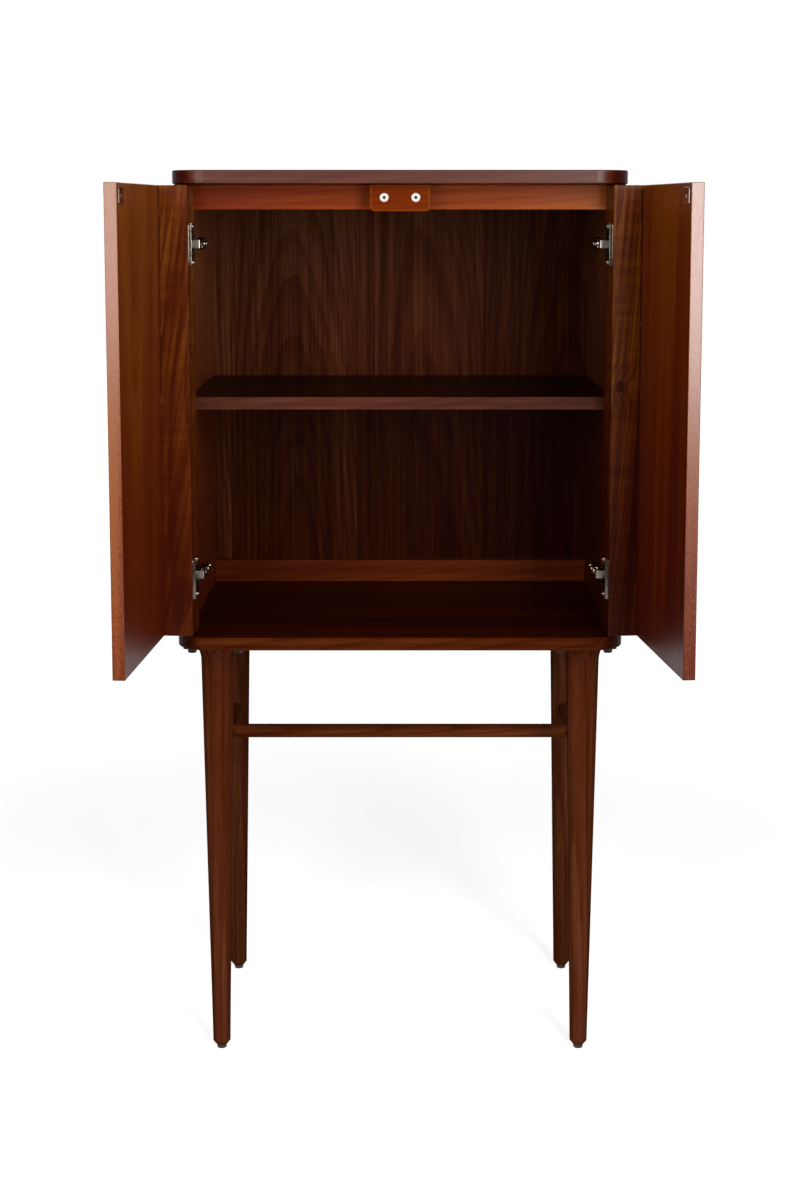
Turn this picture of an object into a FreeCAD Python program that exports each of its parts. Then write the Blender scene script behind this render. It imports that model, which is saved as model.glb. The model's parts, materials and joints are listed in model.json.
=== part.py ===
import FreeCAD, Part

import os
import re
from math import atan2, pi, sin, tan

import Sketcher

# Bar cabinet on four turned legs, with two doors whose thick stiles wrap the front corners.
#
# Millimetres, +Z up, X to the right and the front towards -Y. The doors stand open at rest, each
# turned about its own hinge line, and the origin lies on the floor under the middle of the whole,
# doors included. Pieces are laid out from the middle of the case, which is a little further back.

V = FreeCAD.Vector
UP = V(0, 0, 1)

# ---------------------------------------------------------------------------------------------
# Driving dimensions: alias, value in millimetres or degrees, what it measures
# ---------------------------------------------------------------------------------------------
SIZES = {
    "case_behind": (121.5, "origin to the middle of the case, front to back"),
    "case_width": (610, "top and base slabs, left to right"),
    "case_depth": (410, "top and base slabs, front to back"),
    "under_height": (592, "floor to the underside of the base slab"),
    "opening_height": (610, "clear height between the slabs"),
    "slab_thick": (18, "top and base slabs"),
    "board_thick": (16, "side panels"),
    "corner_radius": (45, "front corners of the slabs and of the door stiles"),
    "back_radius": (6, "back corners of the slabs and side panels"),
    "slab_ease": (1.5, "rounding along the slabs' edges"),
    "board_ease": (1, "rounding along the other boards' edges"),
    "back_thick": (6, "back panel"),
    "back_inset": (2, "back panel in from the back of the case"),
    "rebate_width": (8, "rebate in the side panels that holds the back panel"),
    "board_play": (0.5, "play round the back panel and the shelf"),
    "rail_height": (34, "top and bottom rails"),
    "front_rail_thick": (18, "front rail under the top"),
    "back_rail_thick": (15, "rails along the back panel"),
    "rail_ease": (2, "rounding along the rails' front edges"),
    "shelf_thick": (18, "shelf"),
    "shelf_height": (304, "shelf's underside above the base slab"),
    "shelf_setback": (2.5, "shelf behind the side panels' front edges"),
    "shelf_pin_radius": (2.5, "shelf pins"),
    "shelf_pin_sunk": (10, "shelf pins in the side panels"),
    "shelf_pin_reach": (9, "shelf pins under the shelf"),
    "shelf_pin_inset": (45, "shelf pins in from the shelf's front and back"),
    "dowel_radius": (4, "dowels between the side panels and the slabs"),
    "dowel_in_slab": (12, "those dowels, inside the slab"),
    "dowel_in_panel": (20, "those dowels, inside the side panel"),
    "dowel_inset": (50, "end dowels in from the side panels' front and back"),
    "rail_dowel_radius": (3, "dowels between the rails and the side panels"),
    "rail_dowel_in_panel": (10, "those dowels, inside the side panel"),
    "rail_dowel_in_rail": (20, "those dowels, inside the rail"),
    "rail_dowel_spacing": (18, "between the two dowels of one rail end"),
    "door_gap": (2, "above and below the doors"),
    "meeting_gap": (3, "between the two leaves when they are shut"),
    "leaf_thick": (16, "door leaves"),
    "stile_width": (57, "hinge stile along the front"),
    "stile_depth": (55, "hinge stile along the side"),
    "stile_gap": (4.5, "shut stile to the side panel"),
    "stile_back_radius": (9, "hinge stile's edge beside the side panel"),
    "tongue_length": (8, "leaf's tongue in the stile"),
    "tongue_thick": (6, "leaf's tongue in the stile"),
    "glue_gap": (0.1, "round the tongue and the dowels' ends"),
    "pivot_inset": (15, "hinge line in from the side of the case"),
    "pivot_depth": (12.5, "hinge line in from the stile's back face"),
    "left_door_angle": (94, "angle by which the left door stands open"),
    "right_door_angle": (96, "angle by which the right door stands open"),
    "hinge_drop": (80, "upper hinges below the top slab"),
    "hinge_rise": (79, "lower hinges above the base slab"),
    "cup_offset": (11, "cup's centre beside the hinge line"),
    "cup_radius": (17.5, "cup bored into the stile"),
    "cup_wall": (1.5, "cup's wall and floor"),
    "cup_depth": (16, "inside of the cup"),
    "cup_play": (0.1, "round the cup in the stile"),
    "flange_thick": (1, "hinge flange on the stile"),
    "flange_length": (56, "hinge flange, up and down"),
    "flange_behind": (13, "hinge flange behind the cup's centre"),
    "flange_ahead": (28, "hinge flange ahead of the cup's centre"),
    "flange_corner": (4, "corners of the flange"),
    "cup_lip": (1.5, "round part of the flange beyond the cup"),
    "cup_screw_spacing": (48, "between the two screws of one cup"),
    "pin_radius": (1.5, "hinge pin"),
    "pin_seat": (0.7, "hinge pin's ends in the cup's wall"),
    "pin_clearance": (0.1, "hinge arm's eye round the pin"),
    "eye_radius": (3.1, "hinge arm's eye, outside"),
    "arm_thick": (2.4, "hinge arm's web"),
    "arm_width": (10.5, "hinge arm, up and down"),
    "arm_neck": (12, "hinge line to the start of the arm's bend"),
    "arm_bend": (8, "radius of the arm's bend"),
    "arm_reach": (76, "hinge line to the arm's far end"),
    "arm_cheek": (6, "depth of the arm's cheeks"),
    "arm_cheek_thick": (1.2, "arm's cheeks"),
    "arm_cheek_start": (26, "hinge line to the start of the cheeks"),
    "rib_start": (34, "hinge line to the front of the mounting plate"),
    "rib_clearance": (0.25, "mounting plate's rib inside the arm's cheeks"),
    "wing_thick": (2.5, "mounting plate's wings"),
    "wing_length": (50, "mounting plate's wings, up and down"),
    "wing_width": (14, "mounting plate's wings, front to back"),
    "wing_corner": (4.5, "mounting plate's wings, corners"),
    "wing_screw_spacing": (32, "between the two screws of one mounting plate"),
    "wing_setback": (6, "wings behind the front of the mounting plate"),
    "small_screw_radius": (1.5, "shank of the hinge screws"),
    "small_screw_length": (12, "shank of the hinge screws"),
    "small_head_radius": (3.6, "head of the hinge screws"),
    "small_head_height": (1.8, "head of the hinge screws"),
    "arm_screw_radius": (2, "shank of the screws through the arm"),
    "arm_screw_length": (8, "shank of the screws through the arm"),
    "arm_screw_spacing": (24, "between the two screws through the arm"),
    "arm_screw_setback": (9, "first of them behind the front of the mounting plate"),
    "block_width": (79.5, "magnet block, left to right"),
    "block_height": (35, "magnet block, up and down"),
    "block_drop": (1, "magnet block's top below the slab"),
    "block_corner": (5, "magnet block's lower corners"),
    "block_ease": (1.5, "magnet block's front edges"),
    "magnet_spacing": (42, "between the two magnets"),
    "magnet_drop": (18, "magnets' centres below the slab"),
    "magnet_radius": (6, "magnets"),
    "magnet_thick": (5, "magnets"),
    "magnet_proud": (0.4, "magnets in front of the block"),
    "magnet_bore": (2, "hole through the magnets"),
    "magnet_sink": (3.6, "countersink of the magnets"),
    "magnet_play": (0.1, "round the magnets in the block"),
    "magnet_screw_length": (16, "magnet screws, under their heads"),
    "catch_gap": (0.4, "magnets to the strike plates when the doors are shut"),
    "strike_width": (24, "strike plates"),
    "strike_height": (21, "strike plates"),
    "strike_thick": (1.2, "strike plates"),
    "strike_corner": (2, "strike plates' corners"),
    "strike_screw_radius": (1.2, "shank of a strike plate's screw"),
    "strike_screw_length": (9, "shank of a strike plate's screw"),
    "strike_head_radius": (2.2, "head of a strike plate's screw"),
    "strike_head_height": (0.8, "head of a strike plate's screw, let into the plate"),
    "block_screw_radius": (2.2, "screws through the front rail into the block"),
    "block_screw_length": (38, "screws through the front rail into the block"),
    "block_screw_spacing": (58, "between those two screws"),
    "block_head_radius": (4.5, "head of those screws"),
    "block_head_height": (2.5, "head of those screws"),
    "back_screw_radius": (1.6, "back panel's screws"),
    "back_screw_length": (16, "back panel's screws"),
    "back_screw_inset": (12, "back panel's screws in from the case's sides"),
    "back_screw_margin": (60, "end screws in from the slabs"),
    "back_head_radius": (3.2, "head of the back panel's screws"),
    "back_head_height": (1.2, "head of the back panel's screws"),
    "rail_screw_spacing": (190, "between the back panel's screws along a rail"),
    "leg_side_inset": (51, "legs' axes in from the sides of the case"),
    "leg_front_inset": (64, "legs' axes in from the front and back of the case"),
    "leg_foot_radius": (12.2, "leg just above its chamfer"),
    "leg_neck_radius": (22.5, "leg where the flare starts"),
    "leg_flare_height": (25, "flare at the top of the leg"),
    "leg_flare_radius": (40, "hollow curve of the flare"),
    "leg_chamfer": (4.2, "chamfer round the foot"),
    "leg_chamfer_height": (5.5, "chamfer round the foot"),
    "glide_radius": (6.8, "glides under the legs"),
    "glide_height": (5.5, "glides under the legs"),
    "glide_ease": (0.8, "rounding of the glides"),
    "leg_plate_half": (43, "leg plates, half the side"),
    "leg_plate_thick": (3, "leg plates"),
    "leg_plate_corner": (6, "leg plates' corners"),
    "leg_bolt_offset": (31.5, "leg bolts beside the leg's axis, both ways"),
    "leg_bolt_radius": (3, "shank of the leg bolts"),
    "leg_bolt_length": (14, "leg bolts in the base slab"),
    "leg_bolt_head": (5.5, "head of the leg bolts, half across the flats"),
    "leg_bolt_head_height": (5.2, "head of the leg bolts"),
    "washer_radius": (6.4, "washers under the leg bolts"),
    "washer_thick": (1.5, "washers under the leg bolts"),
    "hanger_radius": (4, "hanger bolts that hold the legs"),
    "hanger_in_leg": (45, "hanger bolts, inside the leg"),
    "hanger_in_slab": (9, "hanger bolts, above the leg plate"),
    "hanger_clearance": (0.5, "slab's hole round the hanger bolt"),
    "stretcher_height": (423, "stretchers' axes above the floor"),
    "stretcher_radius": (10, "stretchers"),
    "stretcher_stop": (7, "side stretchers' ends short of the legs' axes"),
    "tenon_radius": (6, "tenons of the cross stretcher"),
    "tenon_length": (9, "those tenons, inside the side stretchers"),
}

# Sizes worked out from the ones above.
WORKED_OUT = {
    "half_width": "case_width / 2",
    "half_depth": "case_depth / 2",
    "inner_half": "half_width - board_thick",
    "case_floor": "under_height + slab_thick",
    "case_ceiling": "case_floor + opening_height",
    "panel_front": "stile_depth + stile_gap - half_depth",
    "back_front": "half_depth - back_inset - back_thick",
    "pivot_x": "half_width - pivot_inset",
    "pivot_y": "stile_depth - pivot_depth - half_depth",
    "door_height": "opening_height - 2 * door_gap",
    "door_front": "pivot_depth - stile_depth",
    "leaf_back": "door_front + leaf_thick",
    "leaf_end": "pivot_x - meeting_gap / 2",
    "seam": "stile_width - pivot_inset",
    "tongue_middle": "door_front + leaf_thick / 2",
    "upper_hinge": "opening_height - hinge_drop",
    "lower_hinge": "hinge_rise",
    "cup_inside": "cup_radius - cup_wall",
    "pin_half": "sqrt(cup_inside * cup_inside - cup_offset * cup_offset) + pin_seat",
    "arm_inside": "arm_neck + arm_bend - arm_thick / 2",
    "plate_base": "board_thick - pivot_inset",
    "rib_half": "arm_width / 2 - arm_cheek_thick - rib_clearance",
    "wing_middle": "rib_start + wing_setback + wing_width / 2",
    "first_arm_screw": "rib_start + arm_screw_setback",
    "front_rail_y": "panel_front + board_ease",
    "magnet_height": "case_ceiling - magnet_drop",
    "magnet_face": "leaf_thick + strike_thick + catch_gap - half_depth",
    "block_front": "magnet_face + magnet_proud",
    "block_depth": "front_rail_y - block_front",
    "block_bottom": "case_ceiling - block_drop - block_height",
    "strike_x": "pivot_x - magnet_spacing / 2",
    "strike_z": "opening_height - magnet_drop",
    "leg_x": "half_width - leg_side_inset",
    "leg_y": "half_depth - leg_front_inset",
    "leg_top": "under_height - leg_plate_thick",
    "neck_height": "leg_top - leg_flare_height",
    "flare_middle": "leg_neck_radius + leg_flare_radius",
    "stretcher_half": "leg_y - stretcher_stop - glue_gap",
    "shelf_y": "panel_front + shelf_setback",
    "shelf_depth": "back_front - board_play - shelf_y",
    "shelf_pin_z": "case_floor + shelf_height - shelf_pin_radius",
    "screw_column": "half_width - back_screw_inset",
}

doc = FreeCAD.newDocument("bar_cabinet")
sheet = doc.addObject("Spreadsheet::Sheet", "sizes")
for number, (alias, (size, meaning)) in enumerate(SIZES.items(), start=1):
    sheet.set(f"A{number}", meaning)
    sheet.set(f"B{number}", str(size))
    sheet.setAlias(f"B{number}", alias)
doc.recompute()

# The sub-parts, each written to a file of its own.
pieces = []

# A length below which two places are the same.
NEAR = 0.001
# Share of a screw head's height that is rounded over.
HEAD_ROUND = 0.8
# Direction of each side of the case along X, and of each row of legs along Y.
SIDES = {"left": -1, "right": 1}
ROWS = {"front": -1, "back": 1}
# Height of each hinge above the base slab, and where its arm is screwed down, from the hinge line.
HINGES = {"upper": "upper_hinge", "lower": "lower_hinge"}
ARM_SCREWS = [("first_arm_screw", "0"), ("first_arm_screw + arm_screw_spacing", "0")]


# ---------------------------------------------------------------------------------------------
# Helpers
# ---------------------------------------------------------------------------------------------
def formula(text):
    """Write a size, or sum of sizes, so that an expression can read it from the sheet."""
    def spell_out(match):
        word = match.group(0)
        if word in WORKED_OUT:
            return "(" + formula(WORKED_OUT[word]) + ")"
        return "sizes." + word if word in SIZES else word
    return re.sub(r"[a-z_]+", spell_out, str(text))


def worth(text):
    """Read a size, or sum of sizes, as a number."""
    return float(sheet.evalExpression(formula(text)))


def bind(thing, **sizes):
    """Bind properties to the sheet. A double underscore stands for the dot in a property's path."""
    for path, text in sizes.items():
        thing.setExpression(path.replace("__", "."), formula(text))


def put(thing, x="0", y="0", z="0"):
    """Bind an object's place."""
    bind(thing, Placement__Base__x=x, Placement__Base__y=y, Placement__Base__z=z)


def stand(piece, x="0", y="0", z="0"):
    """Bind a piece's place, given from the floor under the middle of the case."""
    put(piece, x, f"{y} + case_behind", z)


def new_body(label, is_piece=True):
    body = doc.addObject("PartDesign::Body", label)
    body.Label = label
    if is_piece:
        pieces.append(body)
    return body


def sketch_on(body, role, offset="0"):
    """Make a sketch on one of the body's own planes, or parallel to it at an offset."""
    plane = next(f for f in body.Origin.OriginFeatures if f.Role == role)
    sketch = body.newObject("Sketcher::SketchObject", f"{body.Name}_sketch")
    sketch.AttachmentSupport = (plane, [""])
    sketch.MapMode = "FlatFace"
    bind(sketch, AttachmentOffset__Base__z=offset)
    return sketch


def fix(sketch, kind, geometry, point, text):
    """Hold one point of a sketch at a distance from the origin, bound to the sheet."""
    number = sketch.addConstraint(Sketcher.Constraint(kind, geometry, point, worth(text)))
    sketch.setExpression(f"Constraints[{number}]", formula(text))


def fix_radius(sketch, geometry, text):
    number = sketch.addConstraint(Sketcher.Constraint("Radius", geometry, worth(text)))
    sketch.setExpression(f"Constraints[{number}]", formula(text))


def circles(sketch, spots, radius):
    """Draw one circle at each spot."""
    for x, y in spots:
        ring = sketch.addGeometry(Part.Circle(V(worth(x), worth(y), 0), UP, worth(radius)), False)
        fix_radius(sketch, ring, radius)
        fix(sketch, "DistanceX", ring, 3, x)
        fix(sketch, "DistanceY", ring, 3, y)


def outline(sketch, corners):
    """Draw a closed outline through corners (x, y) or, where one is rounded, (x, y, radius)."""
    count = len(corners)
    spots = [V(worth(corner[0]), worth(corner[1]), 0) for corner in corners]
    starts, ends = list(spots), list(spots)
    middles = {}
    for i, corner in enumerate(corners):
        if len(corner) == 2:
            continue
        back = (spots[i - 1] - spots[i]).normalize()
        ahead = (spots[(i + 1) % count] - spots[i]).normalize()
        half_angle = back.getAngle(ahead) / 2
        radius = worth(corner[2])
        ends[i] = spots[i] + back * (radius / tan(half_angle))
        starts[i] = spots[i] + ahead * (radius / tan(half_angle))
        middles[i] = spots[i] + (back + ahead).normalize() * (radius / sin(half_angle))
    lines = []
    for i in range(count):
        side = Part.LineSegment(starts[i], ends[(i + 1) % count])
        lines.append(sketch.addGeometry(side, False))
    for i, corner in enumerate(corners):
        before, after = lines[i - 1], lines[i]
        if i not in middles:
            sketch.addConstraint(Sketcher.Constraint("Coincident", before, 2, after, 1))
            fix(sketch, "DistanceX", after, 1, corner[0])
            fix(sketch, "DistanceY", after, 1, corner[1])
            continue
        first, last = ends[i] - middles[i], starts[i] - middles[i]
        turns_left = first.cross(last).z > 0
        if not turns_left:
            first, last = last, first
        ring = Part.Circle(middles[i], UP, first.Length)
        bow = Part.ArcOfCircle(ring, atan2(first.y, first.x), atan2(last.y, last.x))
        arc = sketch.addGeometry(bow, False)
        point = sketch.addGeometry(Part.Point(spots[i]), True)
        fix(sketch, "DistanceX", point, 1, corner[0])
        fix(sketch, "DistanceY", point, 1, corner[1])
        sketch.addConstraint(Sketcher.Constraint("PointOnObject", point, 1, before))
        sketch.addConstraint(Sketcher.Constraint("PointOnObject", point, 1, after))
        begin, finish = (1, 2) if turns_left else (2, 1)
        sketch.addConstraint(Sketcher.Constraint("Tangent", before, 2, arc, begin))
        sketch.addConstraint(Sketcher.Constraint("Tangent", arc, finish, after, 1))
        fix_radius(sketch, arc, corner[2])


def pad(body, sketch, length, back=False, both=False):
    """Thicken a sketch along its plane's normal, against it, or half each way."""
    feature = body.newObject("PartDesign::Pad", f"{body.Name}_pad")
    feature.Profile = sketch
    feature.SideType = "Symmetric" if both else "One side"
    feature.Reversed = back
    bind(feature, Length=length)
    doc.recompute()
    return feature


def pocket(body, sketch, depth, ahead=False, both=False):
    """Cut a sketch against its plane's normal, along it, or half each way."""
    before = body.Shape.Volume
    feature = body.newObject("PartDesign::Pocket", f"{body.Name}_pocket")
    feature.Profile = sketch
    feature.SideType = "Symmetric" if both else "One side"
    feature.Reversed = ahead
    bind(feature, Length=depth)
    doc.recompute()
    if not body.Shape.Volume < before:
        raise RuntimeError(f"{feature.Name} cuts nothing")


def drill(body, role, offset, spots, radius, depth, ahead=False, both=False):
    """Bore round holes, starting on a plane of the body at an offset."""
    sketch = sketch_on(body, role, offset)
    circles(sketch, spots, radius)
    pocket(body, sketch, depth, ahead, both)


def turn(body, corners):
    """Turn a profile of (radius, height) corners about the body's upright axis."""
    sketch = sketch_on(body, "XZ_Plane")
    outline(sketch, corners)
    spin(body, sketch)


def spin(body, sketch):
    feature = body.newObject("PartDesign::Revolution", f"{body.Name}_turning")
    feature.Profile = sketch
    feature.ReferenceAxis = (sketch, ["V_Axis"])
    feature.Angle = 360
    doc.recompute()


def ease(body, radius, wanted):
    """Round those edges of the body that the test picks by their middle and their extent."""
    base = body.Tip
    names = []
    for number, edge in enumerate(base.Shape.Edges, start=1):
        if wanted(edge.BoundBox):
            names.append(f"Edge{number}")
    feature = body.newObject("PartDesign::Fillet", f"{body.Name}_easing")
    feature.Base = (base, names)
    bind(feature, Radius=radius)
    doc.recompute()


def level(low, high, *heights):
    """Say whether an edge's extent lies flat at one of the heights."""
    return high - low < NEAR and any(abs(low - height) < NEAR for height in heights)


def group(label, prototype, spots):
    """Set copies of a fastener, each facing one way at its spot, and gather them in one piece."""
    links = []
    for number, (facing, x, y, z) in enumerate(spots):
        link = doc.addObject("App::Link", f"{label}_{number}")
        link.LinkedObject = prototype
        link.LinkTransform = False
        link.Placement = FreeCAD.Placement(V(0, 0, 0), FreeCAD.Rotation(UP, facing))
        put(link, x, y, z)
        links.append(link)
    gathered = doc.addObject("Part::Compound", label)
    gathered.Label = label
    gathered.Links = links
    stand(gathered)
    pieces.append(gathered)
    return gathered


def screw(label, radius, length, head_radius, head_height):
    """Make a round-headed screw whose head sits on the ground and whose shank points down."""
    body = new_body(label, is_piece=False)
    turn(body, [
        ("0", f"-({length})"),
        (radius, f"-({length})"),
        (radius, "0"),
        (head_radius, "0"),
        (head_radius, head_height, f"{head_height} * {HEAD_ROUND}"),
        ("0", head_height),
    ])
    return body


def hang(piece, side, z="case_floor"):
    """Hang a piece, drawn round the hinge line of its shut door, on the door as it stands open."""
    stand(piece, f"{SIDES[side]} * pivot_x", "pivot_y", z)
    piece.Placement.Rotation = FreeCAD.Rotation(UP, 1)
    bind(piece, Placement__Rotation__Angle=f"{SIDES[side]} * {side}_door_angle")


# ---------------------------------------------------------------------------------------------
# Case: slabs, side panels, back and rails
# ---------------------------------------------------------------------------------------------
DOWEL_ROWS = ["panel_front + dowel_inset", "(panel_front + half_depth) / 2", "half_depth - dowel_inset"]
DOWEL_SPOTS = [
    (f"{sign} * (half_width - board_thick / 2)", y)
    for sign in SIDES.values()
    for y in DOWEL_ROWS
]
LEG_SPOTS = {
    f"{row}_{side}": (f"{SIDES[side]} * leg_x", f"{ROWS[row]} * leg_y")
    for row in ROWS
    for side in SIDES
}
BOLT_SPOTS = [
    (f"{x} + {across} * leg_bolt_offset", f"{y} + {along} * leg_bolt_offset")
    for x, y in LEG_SPOTS.values()
    for across in (-1, 1)
    for along in (-1, 1)
]
# Rails as (front face, thickness, underside above the base slab).
RAILS = {
    "front_top_rail": ("front_rail_y", "front_rail_thick", "opening_height - rail_height"),
    "back_top_rail": ("back_front - back_rail_thick", "back_rail_thick", "opening_height - rail_height"),
    "back_bottom_rail": ("back_front - back_rail_thick", "back_rail_thick", "0"),
}
RAIL_DOWELS = [
    (f"{y} + {thick} / 2", f"{z} + rail_height / 2 + {way} * rail_dowel_spacing / 2")
    for y, thick, z in RAILS.values()
    for way in (-1, 1)
]
SHELF_PINS = ["shelf_y + shelf_pin_inset", "shelf_y + shelf_depth - shelf_pin_inset"]
# The back panel's screws: a column into each side panel and a row into each rail.
COLUMN_STEPS = 3
COLUMN_HEIGHTS = [
    f"back_screw_margin + {i} * (opening_height - 2 * back_screw_margin) / {COLUMN_STEPS}"
    for i in range(COLUMN_STEPS + 1)
]
COLUMN_SCREWS = [(f"{sign} * screw_column", z) for sign in SIDES.values() for z in COLUMN_HEIGHTS]
RAIL_SCREWS = [
    (f"{i} * rail_screw_spacing", z)
    for z in ("rail_height / 2", "opening_height - rail_height / 2")
    for i in (-1, 0, 1)
]
BLOCK_SCREWS = [(f"{way} * block_screw_spacing / 2", "block_bottom + block_height / 2") for way in (-1, 1)]


def slab(label, z):
    body = new_body(label)
    sketch = sketch_on(body, "XY_Plane")
    outline(sketch, [
        ("-half_width", "-half_depth", "corner_radius"),
        ("half_width", "-half_depth", "corner_radius"),
        ("half_width", "half_depth", "back_radius"),
        ("-half_width", "half_depth", "back_radius"),
    ])
    pad(body, sketch, "slab_thick")
    ease(body, "slab_ease", lambda box: level(box.ZMin, box.ZMax, 0, worth("slab_thick")))
    stand(body, z=z)
    return body


top_panel = slab("top_panel", "case_ceiling")
drill(top_panel, "XY_Plane", "0", DOWEL_SPOTS, "dowel_radius", "dowel_in_slab + glue_gap", ahead=True)

base_panel = slab("base_panel", "under_height")
drill(base_panel, "XY_Plane", "slab_thick", DOWEL_SPOTS, "dowel_radius", "dowel_in_slab + glue_gap")
drill(base_panel, "XY_Plane", "0", BOLT_SPOTS, "leg_bolt_radius", "leg_bolt_length", ahead=True)
drill(base_panel, "XY_Plane", "0", LEG_SPOTS.values(), "hanger_radius + hanger_clearance",
      "hanger_in_slab + hanger_clearance", ahead=True)


def wing_screws(sign):
    """List where the screws of one side's mounting plates meet the side panel."""
    return [
        (f"{sign} * inner_half", "pivot_y + wing_middle", f"{hinge} + {way} * wing_screw_spacing / 2")
        for hinge in HINGES.values()
        for way in (-1, 1)
    ]


def side_panel(side):
    """Make one side of the case, rebated for the back panel, from the base slab up."""
    sign = SIDES[side]
    body = new_body(f"side_panel_{side}")
    sketch = sketch_on(body, "XY_Plane")
    outline(sketch, [
        (f"{sign} * half_width", "panel_front", "board_ease"),
        (f"{sign} * inner_half", "panel_front", "board_ease"),
        (f"{sign} * inner_half", "back_front"),
        (f"{sign} * (inner_half + rebate_width)", "back_front"),
        (f"{sign} * (inner_half + rebate_width)", "half_depth"),
        (f"{sign} * half_width", "half_depth", "back_radius"),
    ])
    pad(body, sketch, "opening_height")
    ends = [spot for spot in DOWEL_SPOTS if spot[0].startswith(f"{sign} ")]
    inside = f"{sign} * inner_half"
    outwards = sign > 0
    drill(body, "XY_Plane", "0", ends, "dowel_radius", "dowel_in_panel + glue_gap", ahead=True)
    drill(body, "XY_Plane", "opening_height", ends, "dowel_radius", "dowel_in_panel + glue_gap")
    drill(body, "YZ_Plane", inside, RAIL_DOWELS, "rail_dowel_radius", "rail_dowel_in_panel + glue_gap",
          ahead=outwards)
    pins = [(y, "shelf_height - shelf_pin_radius") for y in SHELF_PINS]
    drill(body, "YZ_Plane", inside, pins, "shelf_pin_radius", "shelf_pin_sunk", ahead=outwards)
    screws = [(y, z) for _, y, z in wing_screws(sign)]
    drill(body, "YZ_Plane", inside, screws, "small_screw_radius", "small_screw_length - wing_thick",
          ahead=outwards)
    column = [spot for spot in COLUMN_SCREWS if spot[0].startswith(f"{sign} ")]
    drill(body, "XZ_Plane", "-back_front", column, "back_screw_radius", "back_screw_length - back_thick",
          ahead=True)
    stand(body, z="case_floor")


for side in SIDES:
    side_panel(side)

back_panel = new_body("back_panel")
back_sketch = sketch_on(back_panel, "XZ_Plane")
BACK_HALF = "(inner_half + rebate_width - board_play)"
outline(back_sketch, [
    (f"-{BACK_HALF}", "board_play"),
    (BACK_HALF, "board_play"),
    (BACK_HALF, "opening_height - board_play"),
    (f"-{BACK_HALF}", "opening_height - board_play"),
])
pad(back_panel, back_sketch, "back_thick", back=True)
drill(back_panel, "XZ_Plane", "0", COLUMN_SCREWS + RAIL_SCREWS, "back_screw_radius", "back_thick")
stand(back_panel, y="back_front", z="case_floor")


def rail(label):
    """Make a rail between the side panels, its front edges rounded, with dowel holes in its ends."""
    y, thick, z = RAILS[label]
    body = new_body(label)
    sketch = sketch_on(body, "XY_Plane")
    outline(sketch, [
        ("-inner_half", "0"),
        ("inner_half", "0"),
        ("inner_half", thick),
        ("-inner_half", thick),
    ])
    pad(body, sketch, "rail_height")
    ease(body, "rail_ease", lambda box: level(box.YMin, box.YMax, 0))
    holes = [(f"{thick} / 2", f"rail_height / 2 + {way} * rail_dowel_spacing / 2") for way in (-1, 1)]
    for sign in SIDES.values():
        drill(body, "YZ_Plane", f"{sign} * inner_half", holes, "rail_dowel_radius",
              "rail_dowel_in_rail + glue_gap", ahead=sign < 0)
    stand(body, y=y, z=f"case_floor + {z}")
    return body


front_rail = rail("front_top_rail")
drill(front_rail, "XZ_Plane", "0", [(x, f"{z} - case_ceiling + rail_height") for x, z in BLOCK_SCREWS],
      "block_screw_radius", "front_rail_thick")
for label in ("back_top_rail", "back_bottom_rail"):
    back_rail = rail(label)
    holes = [(x, "rail_height / 2") for x, z in RAIL_SCREWS[:3]]
    drill(back_rail, "XZ_Plane", "-back_rail_thick", holes, "back_screw_radius",
          "back_screw_length - back_thick", ahead=True)

# The shelf, loose on four pins.
shelf = new_body("shelf")
shelf_sketch = sketch_on(shelf, "XY_Plane")
outline(shelf_sketch, [
    ("board_play - inner_half", "0"),
    ("inner_half - board_play", "0"),
    ("inner_half - board_play", "shelf_depth"),
    ("board_play - inner_half", "shelf_depth"),
])
pad(shelf, shelf_sketch, "shelf_thick")
ease(shelf, "board_ease", lambda box: level(box.YMin, box.YMax, 0))
stand(shelf, y="shelf_y", z="case_floor + shelf_height")


def rod(label, radius, length):
    """Make a plain round rod that stands on the ground."""
    cylinder = doc.addObject("Part::Cylinder", label)
    bind(cylinder, Radius=radius, Height=length)
    return cylinder


X_WAY = {-1: V(-1, 0, 0), 1: V(1, 0, 0)}
FRONT, BACK, DOWN = V(0, -1, 0), V(0, 1, 0), V(0, 0, -1)

pin = rod("shelf_pin", "shelf_pin_radius", "shelf_pin_sunk + shelf_pin_reach")
group("shelf_pins", pin, [
    (X_WAY[-sign], f"{sign} * (inner_half + shelf_pin_sunk)", y, "shelf_pin_z")
    for sign in SIDES.values()
    for y in SHELF_PINS
])

case_dowel = rod("case_dowel", "dowel_radius", "dowel_in_slab + dowel_in_panel")
group("case_dowels", case_dowel, [
    (UP, x, y, z)
    for x, y in DOWEL_SPOTS
    for z in ("case_floor - dowel_in_slab", "case_ceiling - dowel_in_panel")
])

rail_dowel = rod("rail_dowel", "rail_dowel_radius", "rail_dowel_in_panel + rail_dowel_in_rail")
group("rail_dowels", rail_dowel, [
    (X_WAY[-sign], f"{sign} * (inner_half + rail_dowel_in_panel)", y, f"case_floor + {z}")
    for sign in SIDES.values()
    for y, z in RAIL_DOWELS
])

back_screw = screw("back_screw", "back_screw_radius", "back_screw_length", "back_head_radius",
                   "back_head_height")
group("back_screws", back_screw, [
    (BACK, x, "back_front + back_thick", f"case_floor + {z}")
    for x, z in COLUMN_SCREWS + RAIL_SCREWS
])

# ---------------------------------------------------------------------------------------------
# Magnet catch under the top
# ---------------------------------------------------------------------------------------------
MAGNET_X = [f"{way} * magnet_spacing / 2" for way in (-1, 1)]

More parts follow.
